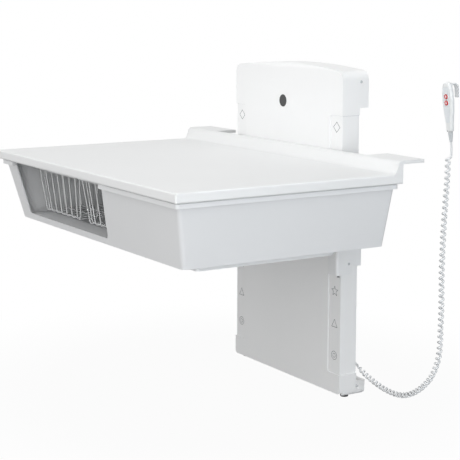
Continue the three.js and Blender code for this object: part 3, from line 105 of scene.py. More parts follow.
# Each lamp: its name, place, target, size across in metres, power in watts, and colour.
for name, spot, target, size, watts, colour in (
    ("top_softbox", (0.0, -0.6, 3.8), (0.0, -0.4, 0.5), 3.0, 33, "#FFFFFF"),
    ("key_softbox", (2.6, -2.2, 3.4), (0.1, -0.4, 0.4), 2.6, 25, "#FFFFFF"),
    ("left_softbox", (-3.2, -2.6, 2.4), (0.0, -0.4, 0.5), 2.6, 17, "#FFFFFF"),
    ("low_left_softbox", (-3.4, -3.0, 0.9), (0.0, -0.3, 0.6), 2.4, 19, "#FFFFFF"),
    ("low_front_softbox", (0.4, -4.2, 0.45), (0.0, -0.3, 0.4), 1.2, 11, "#FFFFFF"),
    ("right_softbox", (3.8, -0.3, 0.9), (0.1, -0.3, 0.5), 2.4, 38, "#F0F8FF"),
    ("camera_softbox", (3.0, -2.9, 1.2), (0.0, -0.3, 0.5), 2.0, 28, "#FFFFFF"),
    ("low_camera_softbox", (3.0, -2.9, 0.45), (0.0, -0.2, 0.3), 1.2, 19, "#FFFFFF"),
):
    lamp_data = bpy.data.lights.new(name, "AREA")
    lamp_data.shape = "DISK"
    lamp_data.size = size
    lamp_data.energy = watts
    lamp_data.color = linear(colour)[:3]
    lamp = bpy.data.objects.new(name, lamp_data)
    lamp.location = spot
    lamp.rotation_euler = (Vector(target) - Vector(spot)).to_track_quat("-Z", "Y").to_euler()
    scene.collection.objects.link(lamp)

# The floor is matt card that throws little light back up. The camera sees it as white, with a faint
# shadow close to the object.
FLOOR_REACH = 30
FLOOR_MIDDLE = (0.0, -0.3, -0.030)
CARD_PATCH = 0.125
NEAR_GLOW = 0.96
SHADOW_NEAR = 0.5
SHADOW_FAR = 1.2
floor_corners = [(x * FLOOR_REACH, y * FLOOR_REACH, 0) for x, y in ((-1, -1), (1, -1), (1, 1), (-1, 1))]
floor_mesh = bpy.data.meshes.new("floor")
floor_mesh.from_pydata(floor_corners, [], [(0, 1, 2, 3)])
floor = bpy.data.objects.new("floor", floor_mesh)
floor.location = FLOOR_MIDDLE
scene.collection.objects.link(floor)
card = bpy.data.materials.new("matt card")
card.use_nodes = True
tree = card.node_tree
tree.nodes.clear()
ray = node(tree, "ShaderNodeLightPath")
place = node(tree, "ShaderNodeTexCoord")
grain = node(tree, "ShaderNodeTexNoise",
             {"Vector": place.outputs["Object"], "Scale": 1 / CARD_PATCH, "Detail": 3.0})
tone = node(tree, "ShaderNodeMix",
            {"Factor": grain.outputs["Fac"], "A": linear("#7C7C7C"), "B": linear("#808080")},
            data_type="RGBA")
matt = node(tree, "ShaderNodeBsdfDiffuse", {"Color": tone.outputs["Result"]})
glow = node(tree, "ShaderNodeEmission", {"Color": linear("#FFFFFF"), "Strength": 1.0})
seen = node(tree, "ShaderNodeMath", {0: ray.outputs["Is Camera Ray"], 1: ray.outputs["Is Glossy Ray"]},
            operation="MAXIMUM")
seen = node(tree, "ShaderNodeMath", {0: seen.outputs[0], 1: ray.outputs["Is Transmission Ray"]},
            operation="MAXIMUM")
away = node(tree, "ShaderNodeVectorMath", {0: place.outputs["Object"]}, operation="LENGTH")
fade = node(tree, "ShaderNodeMapRange",
            {"Value": away.outputs["Value"], "From Min": SHADOW_NEAR, "From Max": SHADOW_FAR,
             "To Min": NEAR_GLOW, "To Max": 1.0}, interpolation_type="SMOOTHSTEP")
share = node(tree, "ShaderNodeMath", {0: seen.outputs[0], 1: fade.outputs["Result"]}, operation="MULTIPLY")
both = node(tree, "ShaderNodeMixShader", {0: share.outputs[0], 1: matt.outputs[0], 2: glow.outputs[0]})
node(tree, "ShaderNodeOutputMaterial", {"Surface": both.outputs[0]})
floor_mesh.materials.append(card)


# The curly cord: one light grey PVC-jacketed wire, wound on a mandrel and set by heat.
# It hangs from the hand control's strain relief and goes into a gland behind the column's foot.
def mesh_object(name, verts, faces, sharp=40):
    """A new object from points and faces, smooth up to an angle in degrees."""
    mesh = bpy.data.meshes.new(name)
    mesh.from_pydata([tuple(v) for v in verts], [], faces)
    mesh.shade_smooth()
    mesh.set_sharp_from_angle(angle=math.radians(sharp))
    made = bpy.data.objects.new(name, mesh)
    scene.collection.objects.link(made)
    return made


SPAN_STEPS = 40


def eased(start, leaving, end, arriving, share):
    """A point on the smooth curve between two points with given slopes at both."""
    a = 2 * share ** 3 - 3 * share ** 2 + 1
    b = share ** 3 - 2 * share ** 2 + share
    return a * start + b * leaving + (1 - a) * end + (share ** 3 - share ** 2) * arriving


def route_points(corners, count):
    """Points at even steps along a centripetal Catmull-Rom curve through the corners."""
    ends = [2 * corners[0] - corners[1]] + corners + [2 * corners[-1] - corners[-2]]
    fine = []
    for i in range(1, len(ends) - 2):
        p0, p1, p2, p3 = ends[i - 1:i + 3]
        d0, d1, d2 = [max(math.sqrt((b - a).length), 1e-4) for a, b in ((p0, p1), (p1, p2), (p2, p3))]
        t1 = ((p1 - p0) / d0 - (p2 - p0) / (d0 + d1) + (p2 - p1) / d1) * d1
        t2 = ((p2 - p1) / d1 - (p3 - p1) / (d1 + d2) + (p3 - p2) / d2) * d1
        for k in range(SPAN_STEPS):
            fine.append(eased(p1, t1, p2, t2, k / SPAN_STEPS))
    fine.append(corners[-1])
    run = [0.0]
    for a, b in zip(fine, fine[1:]):
        run.append(run[-1] + (b - a).length)
    even_points = []
    j = 0
    for i in range(count + 1):
        want = run[-1] * i / count
        while j < len(run) - 2 and run[j + 1] < want:
            j += 1
        share = (want - run[j]) / max(run[j + 1] - run[j], 1e-9)
        even_points.append(fine[j].lerp(fine[j + 1], share))
    return even_points, run[-1]


def tube_object(name, lines, sides):
    """A mesh of round tubes. Each line is its points, its radius and whether it is a loop."""
    verts, faces = [], []
    for points, radius, loop in lines:
        first = len(verts)
        count = len(points)
        last = Vector((0.3, 0.5, 0.8))
        for i, point in enumerate(points):
            before = points[i - 1] if loop or i else point
            after = points[(i + 1) % count] if loop or i + 1 < count else point
            ahead = (after - before).normalized()
            last = (last - ahead * last.dot(ahead)).normalized()
            up = ahead.cross(last)
            for k in range(sides):
                a = 2 * math.pi * k / sides
                verts.append(point + last * radius * math.cos(a) + up * radius * math.sin(a))
        turn = 0
        if loop:
            seam = [(verts[first] - verts[first + (count - 1) * sides + k]).length for k in range(sides)]
            turn = seam.index(min(seam))
        for i in range(count if loop else count - 1):
            skip = turn if i + 1 == count else 0
            for k in range(sides):
                a = first + i * sides + (k + skip) % sides
                b = first + i * sides + (k + 1 + skip) % sides
                c = first + (i + 1) % count * sides + (k + 1) % sides
                d = first + (i + 1) % count * sides + k
                faces.append((a, b, c, d))
        if not loop:
            faces.append(tuple(reversed(range(first, first + sides))))
            faces.append(tuple(range(first + (count - 1) * sides, first + count * sides)))
    return mesh_object(name, verts, faces, sharp=70)


def surface(name, dark, pale, patch, dull, ior=1.5, metal=0.0, grain=None, depth=0.0):
    """A material that drifts between two tones and two roughnesses over patches of a size in metres.
    A grain, also in metres, gives it a fine bump of that depth."""
    made = bpy.data.materials.new(name)
    made.use_nodes = True
    tree = made.node_tree
    skin = tree.nodes["Principled BSDF"]
    skin.inputs["IOR"].default_value = ior
    skin.inputs["Metallic"].default_value = metal
    place = node(tree, "ShaderNodeTexCoord")
    cloud = node(tree, "ShaderNodeTexNoise",
                 {"Vector": place.outputs["Object"], "Scale": 1 / patch, "Detail": 3.0})
    tone = node(tree, "ShaderNodeMix", {"Factor": cloud.outputs["Fac"], "A": linear(dark), "B": linear(pale)},
                data_type="RGBA")
    worn = node(tree, "ShaderNodeMapRange",
                {"Value": cloud.outputs["Fac"], "To Min": dull[0], "To Max": dull[1]})
    tree.links.new(tone.outputs["Result"], skin.inputs["Base Color"])
    tree.links.new(worn.outputs["Result"], skin.inputs["Roughness"])
    if grain:
        fine = node(tree, "ShaderNodeTexNoise",
                    {"Vector": place.outputs["Object"], "Scale": 1 / grain, "Detail": 2.0})
        rough = node(tree, "ShaderNodeBump",
                     {"Height": fine.outputs["Fac"], "Strength": 1.0, "Distance": depth})
        tree.links.new(rough.outputs["Normal"], skin.inputs["Normal"])
    return made


# The route runs along the middle of the curls. The last stretch, the tail, is straight.
CORD_RADIUS = 0.0032
CORD_SIDES = 12
CURL_RADIUS = 0.005
CURLS = 62
CURL_STEPS = 20
CURL_START = math.radians(130)
LEAD_OFFSET = 0.007
LEAD_STEPS = 9
LEAD_PULL = 0.5
TAIL = 0.040
TAIL_STEPS = 8
CORD_ROUTE = [
    (0.6695, -0.037, 0.719), (0.667, -0.036, 0.672), (0.661, -0.0345, 0.610), (0.6545, -0.033, 0.546),
    (0.6495, -0.0315, 0.482), (0.646, -0.0298, 0.404), (0.645, -0.0275, 0.314), (0.6415, -0.0255, 0.249),
    (0.6385, -0.024, 0.203), (0.6335, -0.023, 0.171), (0.6245, -0.022, 0.1445), (0.6135, -0.021, 0.123),
    (0.6005, -0.020, 0.103), (0.5845, -0.0195, 0.0855), (0.5685, -0.019, 0.0705), (0.5525, -0.0185, 0.0575),
    (0.5325, -0.018, 0.044), (0.5125, -0.0175, 0.033), (0.492, -0.017, 0.0245), (0.4715, -0.0165, 0.019),
    (0.4505, -0.016, 0.016), (0.429, -0.0155, 0.0153), (0.408, -0.015, 0.016), (0.386, -0.0145, 0.018),
    (0.365, -0.014, 0.0215), (0.3425, -0.0135, 0.026), (0.3235, -0.013, 0.0307), (0.305, -0.0125, 0.0362),
    (0.286, -0.012, 0.043), (0.265, -0.012, 0.054), (0.245, -0.012, 0.063),
]
RELIEF_LENGTH = 0.0273
HANDSET_FOOT = Vector((0.675, -0.036, 0.786))
HANDSET_TILT = math.radians(6.5)
down = Vector((0, math.sin(HANDSET_TILT), -math.cos(HANDSET_TILT)))
cord_start = HANDSET_FOOT + down * RELIEF_LENGTH
below = cord_start + down * 2 * CORD_RADIUS
cord_end = Vector((0.2196, -0.012, 0.067))
beside = cord_end + Vector((2 * CORD_RADIUS, 0, 0))
AXIS_STEPS = 6000
axis, axis_length = route_points([Vector(p) for p in CORD_ROUTE] + [beside, cord_end], AXIS_STEPS)


def on_axis(distance):
    """The point and the direction of the cord's route at a distance from its start."""
    i = min(max(round(distance / axis_length * AXIS_STEPS), 1), AXIS_STEPS - 1)
    return axis[i], (axis[i + 1] - axis[i - 1]).normalized()


curls = []
steps = CURLS * CURL_STEPS
for i in range(steps + 1):
    middle, ahead = on_axis((axis_length - TAIL) * i / steps)
    out = ahead.cross(Vector((0, -1, 0))).normalized()
    across = ahead.cross(out).normalized()
    opening = max(0, 1 - 2 * i / CURL_STEPS)
    closing = min(1, (steps - i) / (2 * CURL_STEPS))
    swell = (CURL_RADIUS + (LEAD_OFFSET - CURL_RADIUS) * opening) * closing
    turn = CURL_START + 2 * math.pi * i / CURL_STEPS
    curls.append(middle + out * swell * math.cos(turn) + across * swell * math.sin(turn))

# The straight lead bends softly into the first curl.
lead_reach = (curls[0] - below).length
into_curl = (curls[1] - curls[0]).normalized()
cord_points = [cord_start, below]
arriving = into_curl * lead_reach * LEAD_PULL
for i in range(1, LEAD_STEPS):
    cord_points.append(eased(below, down * lead_reach, curls[0], arriving, i / LEAD_STEPS))
cord_points += curls
for i in range(1, TAIL_STEPS):
    cord_points.append(on_axis(axis_length - TAIL + (TAIL - 2 * CORD_RADIUS) * i / TAIL_STEPS)[0])
cord_points += [beside, cord_end]
cord = tube_object("curly_cord_jacket", [(cord_points, CORD_RADIUS, False)], CORD_SIDES)

# Soft PVC, extruded: satin, a little duller in patches about 40 mm across.
cord_pvc = surface("extruded PVC jacket, light grey", "#DEE0E1", "#E6E7E8", 0.04, (0.52, 0.62), 1.53)
cord.data.materials.append(cord_pvc)
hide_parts("curly_cord")
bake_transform(cord)


# The wall rails and the lift drive: pressed and turned steel, zinc plated, bolted to the wall and to
# each other. A motor turns both threaded spindles through a worm gearbox and a cross shaft.
def dress(material, *names, edge=0.0, segments=3, angle=28):
    """Gives CAD pieces a material, smooth curves and, where edge is set, rounded edges of that radius."""
    for name in names:
        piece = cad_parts[name]
        piece.data.materials.clear()
        piece.data.materials.append(material)
        piece.data.shade_smooth()
        flat = piece.modifiers.new("flat_faces", "DECIMATE")
        flat.decimate_type = "DISSOLVE"
        flat.angle_limit = math.radians(0.4)
        if edge:
            bevel = piece.modifiers.new("rounded_edges", "BEVEL")
            bevel.width = edge
            bevel.segments = segments
            bevel.limit_method = "ANGLE"
            bevel.angle_limit = math.radians(angle)
            bevel.use_clamp_overlap = True
        weigh = piece.modifiers.new("even_shading", "WEIGHTED_NORMAL")
        weigh.mode = "FACE_AREA"
        weigh.weight = 80
        weigh.keep_sharp = False


def ring(radius, height, corners=0, count=24, groove=0.0):
    """Points round the z axis at one height: a circle, or a polygon with that many corners.
    A groove makes every second pair of points lie deeper."""
    points = []
    for k in range(count):
        a = 2 * math.pi * k / count
        reach = radius
        if corners:
            half = math.pi / corners
            reach = radius * math.cos(half) / math.cos(a % (2 * half) - half)
        if k % 4 > 1:
            reach -= groove
        points.append(Vector((reach * math.cos(a), reach * math.sin(a), height)))
    return points


def stacked_object(name, rings, spot, along):
    """A closed skin through rings of equal count, set at a spot with its axis along a direction."""
    turn = Vector(along).to_track_quat("Z", "Y").to_matrix()
    count = len(rings[0])
    verts = [Vector(spot) + turn @ point for points in rings for point in points]
    faces = [tuple(reversed(range(count)))]
    for r in range(len(rings) - 1):
        for k in range(count):
            a = r * count + k
            b = r * count + (k + 1) % count
            faces.append((a, b, b + count, a + count))
    faces.append(tuple(range(len(verts) - count, len(verts))))
    return mesh_object(name, verts, faces, sharp=35)


# Zinc plate on rolled steel: bright grey, with faint cloudy patches about 12 mm across.
zinc = surface("zinc-plated steel, rolled", "#A9ACAE", "#C2C5C7", 0.012, (0.30, 0.48), metal=1.0)
dress(zinc, "upper_wall_rail", "lower_wall_rail", edge=0.0008)
dress(zinc, "left_foot_bearing", "right_foot_bearing", "cross_shaft", edge=0.0008)

# Die-cast aluminium: pale grey and matt, with a sandy skin of grit about 1 mm across.
cast = surface("die-cast aluminium, tumbled", "#A8ABAD", "#BDBFC1", 0.03, (0.46, 0.58), metal=1.0,
               grain=0.0012, depth=0.0001)
dress(cast, "worm_gearbox", "left_bevel_gearbox", "right_bevel_gearbox", edge=0.0015)

# Glass-filled nylon: black, with a fine spark-eroded grain.
nylon = surface("glass-filled nylon, black", "#232425", "#303132", 0.004, (0.50, 0.60), 1.53,
                grain=0.0015, depth=0.00006)
dress(nylon, "cord_gland", edge=0.001)

# The spindles have a two-start thread, left-hand on the left one. Each is cut off flat at its ends.
# The thread's section goes along one lead: a share of the lead, and 1 where the groove is deep.
SPINDLE_RADIUS = 0.010
SPINDLE_LEAD = 0.010
THREAD_DEPTH = 0.0015
THREAD_STEPS = 20
THREAD_OVERRUN = 1.5
THREAD = ((0.03, 0), (0.20, 0), (0.28, 1), (0.45, 1), (0.53, 0), (0.70, 0), (0.78, 1), (0.95, 1))
for name, hand in (("left_spindle", -1), ("right_spindle", 1)):
    low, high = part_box(name)
    centre = (Vector(low) + Vector(high)) / 2
    rows = round(((high[2] - low[2]) / SPINDLE_LEAD + 2 * THREAD_OVERRUN) * THREAD_STEPS)
    bar = bmesh.new()
    grid = []
    for i in range(rows + 1):
        a = hand * 2 * math.pi * i / THREAD_STEPS
        row = []
        for share, deep in THREAD:
            reach = SPINDLE_RADIUS - deep * THREAD_DEPTH
            z = low[2] - THREAD_OVERRUN * SPINDLE_LEAD + SPINDLE_LEAD * (i / THREAD_STEPS + share)
            row.append(bar.verts.new((centre.x + reach * math.cos(a), centre.y + reach * math.sin(a), z)))
        grid.append(row)
    for i in range(rows):
        for j in range(len(THREAD)):
            here, there = grid[i], grid[i + 1]
            if j + 1 < len(THREAD):
                bar.faces.new((here[j], there[j], there[j + 1], here[j + 1]))
            elif i + 1 + THREAD_STEPS <= rows:
                next_lead = i + THREAD_STEPS
                bar.faces.new((here[j], there[j], grid[next_lead + 1][0], grid[next_lead][0]))
    for height, way in ((low[2], -1), (high[2], 1)):
        whole = bar.verts[:] + bar.edges[:] + bar.faces[:]
        bmesh.ops.bisect_plane(bar, geom=whole, plane_co=(0, 0, height), plane_no=(0, 0, way), clear_outer=True)
    bmesh.ops.holes_fill(bar, edges=bar.edges[:], sides=0)
    bmesh.ops.recalc_face_normals(bar, faces=bar.faces[:])
    spindle_mesh = bpy.data.meshes.new(f"{name}_thread")
    bar.to_mesh(spindle_mesh)
    bar.free()
    spindle_mesh.shade_smooth()
    spindle_mesh.set_sharp_from_angle(angle=math.radians(30))
    spindle_mesh.materials.append(zinc)
    spindle = bpy.data.objects.new(f"{name}_thread", spindle_mesh)
    scene.collection.objects.link(spindle)
    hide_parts(name)
    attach(spindle, name)

# The motor has a finned body between two end bells. Each row: radius, height and depth of the fins.
MOTOR_PROFILE = (
    (0.008, 0.0, 0), (0.008, 0.004, 0), (0.019, 0.004, 0), (0.023, 0.008, 0), (0.024, 0.012, 0),
    (0.024, 0.024, 0), (0.0225, 0.024, 0), (0.0225, 0.026, 0), (0.025, 0.026, 0.0025), (0.025, 0.086, 0.0025),
    (0.0225, 0.086, 0), (0.0225, 0.088, 0), (0.0245, 0.088, 0), (0.0245, 0.106, 0), (0.025, 0.106, 0),
    (0.025, 0.110, 0),
)
MOTOR_SIDES = 96
low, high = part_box("drive_motor")
motor_foot = ((low[0] + high[0]) / 2, (low[1] + high[1]) / 2, low[2])
rings = [ring(radius, height, count=MOTOR_SIDES, groove=groove) for radius, height, groove in MOTOR_PROFILE]
motor = stacked_object("drive_motor_body", rings, motor_foot, (0, 0, 1))
motor.data.materials.append(nylon)
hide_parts("drive_motor")
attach(motor, "frame")


# The guide columns: extruded aluminium, powder coated white, bolted to both wall rails.
# They show as the recessed strips at both edges of the column and as its sides.
# Powder coat: satin white with a faint orange peel about 2 mm across.
powder = surface("white powder coat on aluminium", "#F1F2F2", "#F5F5F5", 0.15, (0.36, 0.46), 1.5,
                 grain=0.002, depth=0.00002)
dress(powder, "left_guide_column", "right_guide_column", edge=0.002)

# Printed height marks on the guides: plain outlines in grey ink, one every 96 mm.
# Screen ink: mid grey and dull, a little uneven in the film.
ink = surface("screen-printed grey ink", "#6E7174", "#7C7F82", 0.004, (0.55, 0.65))
MARK_LINE = 0.0014
MARK_FACE = -0.0896
MARK_COUNT = 8
LOWEST_MARK = 0.094
MARK_SPACING = 0.096
MARK_RADIUS = 0.015
CIRCLE_RADIUS = 0.0125
INNER_CIRCLE_RADIUS = 0.006
TRIANGLE_DROP = 0.003
STAR_DIP = 0.45
GUIDE_MIDDLE = 0.25075
MITRE_LIMIT = 0.35


def ribbon_object(name, outlines, width, face_y, thickness=0.00008, lay=Matrix()):
    """Flat closed lines of one width, facing the front on a plane at one depth, then laid in place."""
    verts, faces = [], []
    for outline in outlines:
        first = len(verts)
        count = len(outline)
        for i, (x, z) in enumerate(outline):
            before = Vector(outline[i - 1])
            after = Vector(outline[(i + 1) % count])
            here = Vector((x, z))
            one = (here - before).normalized()
            two = (after - here).normalized()
            normal = Vector((one.y + two.y, -one.x - two.x)).normalized()
            reach = width / 2 / max(normal.dot(Vector((one.y, -one.x))), MITRE_LIMIT)
            for sign in (-1, 1):
                spot = here + normal * reach * sign
                verts.append(lay @ Vector((spot.x, face_y, spot.y)))
        for i in range(count):
            a = first + 2 * i
            b = first + 2 * ((i + 1) % count)
            faces.append((a, b, b + 1, a + 1))
    made = mesh_object(name, verts, faces)
    film = made.modifiers.new("film", "SOLIDIFY")
    film.thickness = thickness
    film.offset = 0
    return made


def round_outline(x, z, radius, count, start=0.0, dip=1.0):
    """Corners round a point. Every second one may dip inward, which makes a star."""
    corners_round = []
    for i in range(count):
        a = start + 2 * math.pi * i / count
        reach = radius * (dip if i % 2 else 1)
        corners_round.append((x + reach * math.cos(a), z + reach * math.sin(a)))
    return corners_round


for side_name, side in (("left", -1), ("right", 1)):
    outlines = []
    for i in range(MARK_COUNT):
        x = side * GUIDE_MIDDLE
        z = LOWEST_MARK + MARK_SPACING * i
        upright = math.pi / 2
        if i % 4 == 0:
            outlines.append(round_outline(x, z, CIRCLE_RADIUS, 40))
            outlines.append(round_outline(x, z, INNER_CIRCLE_RADIUS, 28))
        elif i % 4 == 1:
            outlines.append(round_outline(x, z - TRIANGLE_DROP, MARK_RADIUS, 3, upright))
        elif i % 4 == 2:
            outlines.append(round_outline(x, z, MARK_RADIUS, 10, upright, STAR_DIP))
        else:
            outlines.append(round_outline(x, z, MARK_RADIUS, 4, upright))
    marks = ribbon_object(f"{side_name}_height_marks", outlines, MARK_LINE, MARK_FACE)
    marks.data.materials.append(ink)
    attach(marks, "frame")


# The control box: a folded steel tray with a lid, painted white, on the lower wall rail.
# The lid's rim stands proud all round, and a pressed pattern stiffens the back.
def bars_object(name, boxes):
    """Straight bars, each given by its two opposite corners."""
    verts, faces = [], []
    for low, high in boxes:
        first = len(verts)
        sides_x, sides_y, sides_z = zip(low, high)
        verts += [(x, y, z) for x in sides_x for y in sides_y for z in sides_z]
        for side in ((0, 1, 3, 2), (4, 6, 7, 5), (0, 4, 5, 1), (2, 3, 7, 6), (0, 2, 6, 4), (1, 5, 7, 3)):
            faces.append(tuple(first + corner for corner in side))
    return mesh_object(name, verts, faces)


# Paint on steel: a little greyer and duller than the powder coat. The grey is partly painted shade: it darkens
# the brackets and the safety plate, which sit in the shade under the table and the tub.
steel_paint_and_shade = surface("white paint on steel, greyed for shade", "#EDEEEF", "#F3F4F4", 0.10, (0.42, 0.52), 1.5,
                      grain=0.002, depth=0.00002)
dress(steel_paint_and_shade, "control_box", edge=0.003)
LID_RIM = 0.0012
LID_FRONT = 0.013
LID_BACK = 0.017
BOX_RIBS = 4
BOX_RIB_WIDTH = 0.006
BOX_RIB_SINK = 0.001
BOX_RIB_END = 0.016
FIRST_RIB_SHARE = 0.12
RIB_SPACING_SHARE = 0.2533
low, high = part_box("control_box")
rim_front = low[1] + LID_FRONT
rim_back = low[1] + LID_BACK
boxes = []
for z in (low[2], high[2]):
    boxes.append(((low[0] - LID_RIM, rim_front, z - LID_RIM), (high[0] + LID_RIM, rim_back, z + LID_RIM)))
for x in (low[0], high[0]):
    boxes.append(((x - LID_RIM, rim_front, low[2] + LID_RIM), (x + LID_RIM, rim_back, high[2] - LID_RIM)))
for i in range(BOX_RIBS):
    x = low[0] + (high[0] - low[0]) * (FIRST_RIB_SHARE + RIB_SPACING_SHARE * i)
    boxes.append(((x, high[1] - BOX_RIB_SINK, low[2] + BOX_RIB_END),
                  (x + BOX_RIB_WIDTH, high[1] + LID_RIM, high[2] - BOX_RIB_END)))
box_trim = bars_object("control_box_rim", boxes)
box_trim.data.materials.append(steel_paint_and_shade)
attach(box_trim, "frame")


# The column's front cover: one white ABS moulding that clips over the guides, ribbed on its inside.
# Four screws through its side lugs hold it to the ends of the wall rails.
# Moulded ABS: satin white with a fine grain about 1.5 mm across.
abs_white = surface("moulded ABS, satin white", "#F2F3F3", "#F6F6F6", 0.18, (0.40, 0.50), 1.52,
                    grain=0.0015, depth=0.00001)
dress(abs_white, "front_cover", edge=0.002)
PANEL_INSIDE = -0.0902
COVER_RIBS = 7
LOWEST_RIB = 0.170
RIB_SPACING = 0.090
RIB_DEPTH = 0.0042
RIB_HALF_LENGTH = 0.2190
RIB_THICKNESS = 0.002
boxes = []
for i in range(COVER_RIBS):
    z = LOWEST_RIB + RIB_SPACING * i
    boxes.append(((-RIB_HALF_LENGTH, PANEL_INSIDE, z),
                  (RIB_HALF_LENGTH, PANEL_INSIDE + RIB_DEPTH, z + RIB_THICKNESS)))
cover_ribs = bars_object("front_cover_ribs", boxes)
cover_ribs.data.materials.append(abs_white)
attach(cover_ribs, "frame")

# A thin grey strip on each guide, at its front and its side, closes the gap under the cover's head. It is
# painted shadow: its grey draws the dark line the head casts on the guide.
# Closed-cell foam: dull grey, with cells of about 1 mm. Its grey is painted shade: it draws the shadow lines in
# the joints where these strips lie.
shade_foam = surface("grey foam strip, painted joint shade", "#C6C9CB", "#D0D3D5", 0.003, (0.70, 0.80),
               grain=0.001, depth=0.0001)
HEAD_BOTTOM = 0.7999
FRONT_STRIP_HEIGHT = 0.0006
SIDE_STRIP_HEIGHT = 0.0011
STRIP_THICKNESS = 0.0010
boxes = []
for side_name, side in (("left", -1), ("right", 1)):
    low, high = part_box(f"{side_name}_guide_column")
    front, back = low[1], high[1]
    face = max(side * low[0], side * high[0])
    across = sorted((side * face, side * (face + STRIP_THICKNESS)))
    boxes.append(((low[0], front - STRIP_THICKNESS, HEAD_BOTTOM - FRONT_STRIP_HEIGHT),
                  (high[0], front, HEAD_BOTTOM)))
    boxes.append(((across[0], front, HEAD_BOTTOM - SIDE_STRIP_HEIGHT), (across[1], back, HEAD_BOTTOM)))
head_shade_strips = bars_object("cover_head_shade_strips", boxes)
head_shade_strips.data.materials.append(shade_foam)
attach(head_shade_strips, "frame")


# A screw's head in section: shares of its radius, and of its height down from its top.
HEAD_SECTION = ((1.0, 1.0), (1.0, 0.45), (0.92, 0.15), (0.78, 0.0))
KEY_SHARE = 0.55
KEY_DEPTH = 0.6


def socket_screw(name, body, along, head_height, shank=0.0):
    """A turned screw with a hexagon socket, in the place of a CAD one. Its head faces along a direction."""
    low, high = [Vector(corner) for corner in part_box(name)]
    along = Vector(along)
    size = high - low
    half = abs(size.dot(along)) / 2
    radius = max(size - along * size.dot(along)) / 2
    key = KEY_SHARE * radius
    rings = []
    if shank:
        rings += [ring(shank, -half), ring(shank, half - head_height)]
    rings += [ring(share * radius, half - deep * head_height) for share, deep in HEAD_SECTION]
    rings += [ring(key, half, 6), ring(key, half - KEY_DEPTH * head_height, 6)]
    screw = stacked_object(f"{name}_socket", rings, (low + high) / 2, along)
    screw.data.materials.append(zinc)
    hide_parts(name)
    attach(screw, body)


COVER_SCREW_HEAD = 0.002
COVER_SCREW_SHANK = 0.0025
for side_name, side in (("left", -1), ("right", 1)):
    for level in ("upper", "lower"):
        socket_screw(f"cover_screw_{level}_{side_name}", "frame", (side, 0, 0), COVER_SCREW_HEAD,
                     COVER_SCREW_SHANK)


# The badge: a plain dark disc, moulded of polycarbonate and pressed into a pocket in the cover.
# Its eroded mould leaves it satin, so it shows a soft grey sheen and no clear reflection.
badge_dark = surface("polycarbonate, satin dark", "#1B1B1C", "#252526", 0.01, (0.42, 0.50), 1.50)
dress(badge_dark, "cover_badge", edge=0.0005)


# The feet: moulded black rubber buffers on studs, screwed into the ends of the guides.
# They rest on the floor. Rubber is dull all over, with small patches of bloom.
rubber = surface("black rubber, moulded", "#1B1B1C", "#272728", 0.002, (0.70, 0.80))
dress(rubber, "left_foot", "right_foot")


# The carriage: nylon slides in the guides, bronze nuts on the spindles, and painted cast brackets
# that reach round the guides to carry the table.
dress(abs_white, "left_carriage_slide", "right_carriage_slide", edge=0.001)
# Bronze: warm yellow-brown and bright from turning, darker in small patches.
bronze = surface("turned bronze", "#A9874A", "#C2A163", 0.003, (0.30, 0.42), metal=1.0)
dress(bronze, "left_spindle_nut", "right_spindle_nut", edge=0.001)
# The brackets take the greyer paint; its grey is partly painted shade, for the shade under the table.
dress(steel_paint_and_shade, "left_carriage_bracket", "right_carriage_bracket", edge=0.002)
BRACKET_SCREW_HEAD = 0.002
socket_screw("left_bracket_screw", "table", (-1, 0, 0), BRACKET_SCREW_HEAD)
socket_screw("right_bracket_screw", "table", (1, 0, 0), BRACKET_SCREW_HEAD)
# Moulded nylon: dark grey and satin, slightly cloudy.
grey_nylon = surface("moulded nylon, dark grey", "#565A5C", "#606466", 0.004, (0.45, 0.60), 1.53)
dress(grey_nylon, "left_levelling_screw", "right_levelling_screw", edge=0.0005)


# The table frame: a square steel crossbeam on the brackets and four steel arms under the top.
# Zinc-plated runners for the baskets are screwed under the arms.
dress(zinc, "table_crossbeam", edge=0.003)
dress(zinc, "table_arm_1", "table_arm_2", "table_arm_3", "table_arm_4", edge=0.002)
dress(zinc, "left_basket_runner", "middle_basket_runner", "right_basket_runner", edge=0.0006)


# The table top: glass-fibre reinforced polyester, pressed in a polished mould, with a rolled rim,
# an upstand at the back and a shelf plate on each side of the column.
# Gelcoat: satin white, almost smooth, with soft patches a hand's width across.
gelcoat = surface("pressed polyester, satin white gelcoat", "#E8E9E9", "#EDEEEE", 0.25, (0.36, 0.46), 1.54,
                  grain=0.004, depth=0.00001)
dress(gelcoat, "table_top", edge=0.0015)

# A thin lip of soft white PVC along the upstand's back narrows the gap to the column.
# Extruded PVC: white and dull, with a fine grain.
soft_white = surface("soft PVC, extruded, white", "#F1F2F2", "#F5F6F6", 0.03, (0.50, 0.60),
                     grain=0.001, depth=0.00001)
COLUMN_HALF_WIDTH = 0.282
UPSTAND_BACK = -0.0945
LIP_THICKNESS = 0.0008
LIP_BELOW_TOP = 0.0005
LIP_HEIGHT = 0.010
LIP_ROUNDING = 0.00024
lip_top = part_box("table_top")[1][2] - LIP_BELOW_TOP
lip = bars_object("upstand_lip", [((-COLUMN_HALF_WIDTH, UPSTAND_BACK, lip_top - LIP_HEIGHT),
                                   (COLUMN_HALF_WIDTH, UPSTAND_BACK + LIP_THICKNESS, lip_top))])
rounding = lip.modifiers.new("rounded", "BEVEL")
rounding.width = LIP_ROUNDING
rounding.segments = 2
lip.data.materials.append(soft_white)
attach(lip, "table")


# The tub: vacuum-formed ABS sheet, a shade greyer than the top, screwed under it by its flange.
# The stretched sheet has a fine grain and stays a little duller than the top.
abs_grey = surface("vacuum-formed ABS, grey-white", "#E6E7E8", "#EAEBEC", 0.20, (0.42, 0.52), 1.52,
                   grain=0.0015, depth=0.00001)
dress(abs_grey, "tub", edge=0.0015)


BEND_SHARE = 0.45


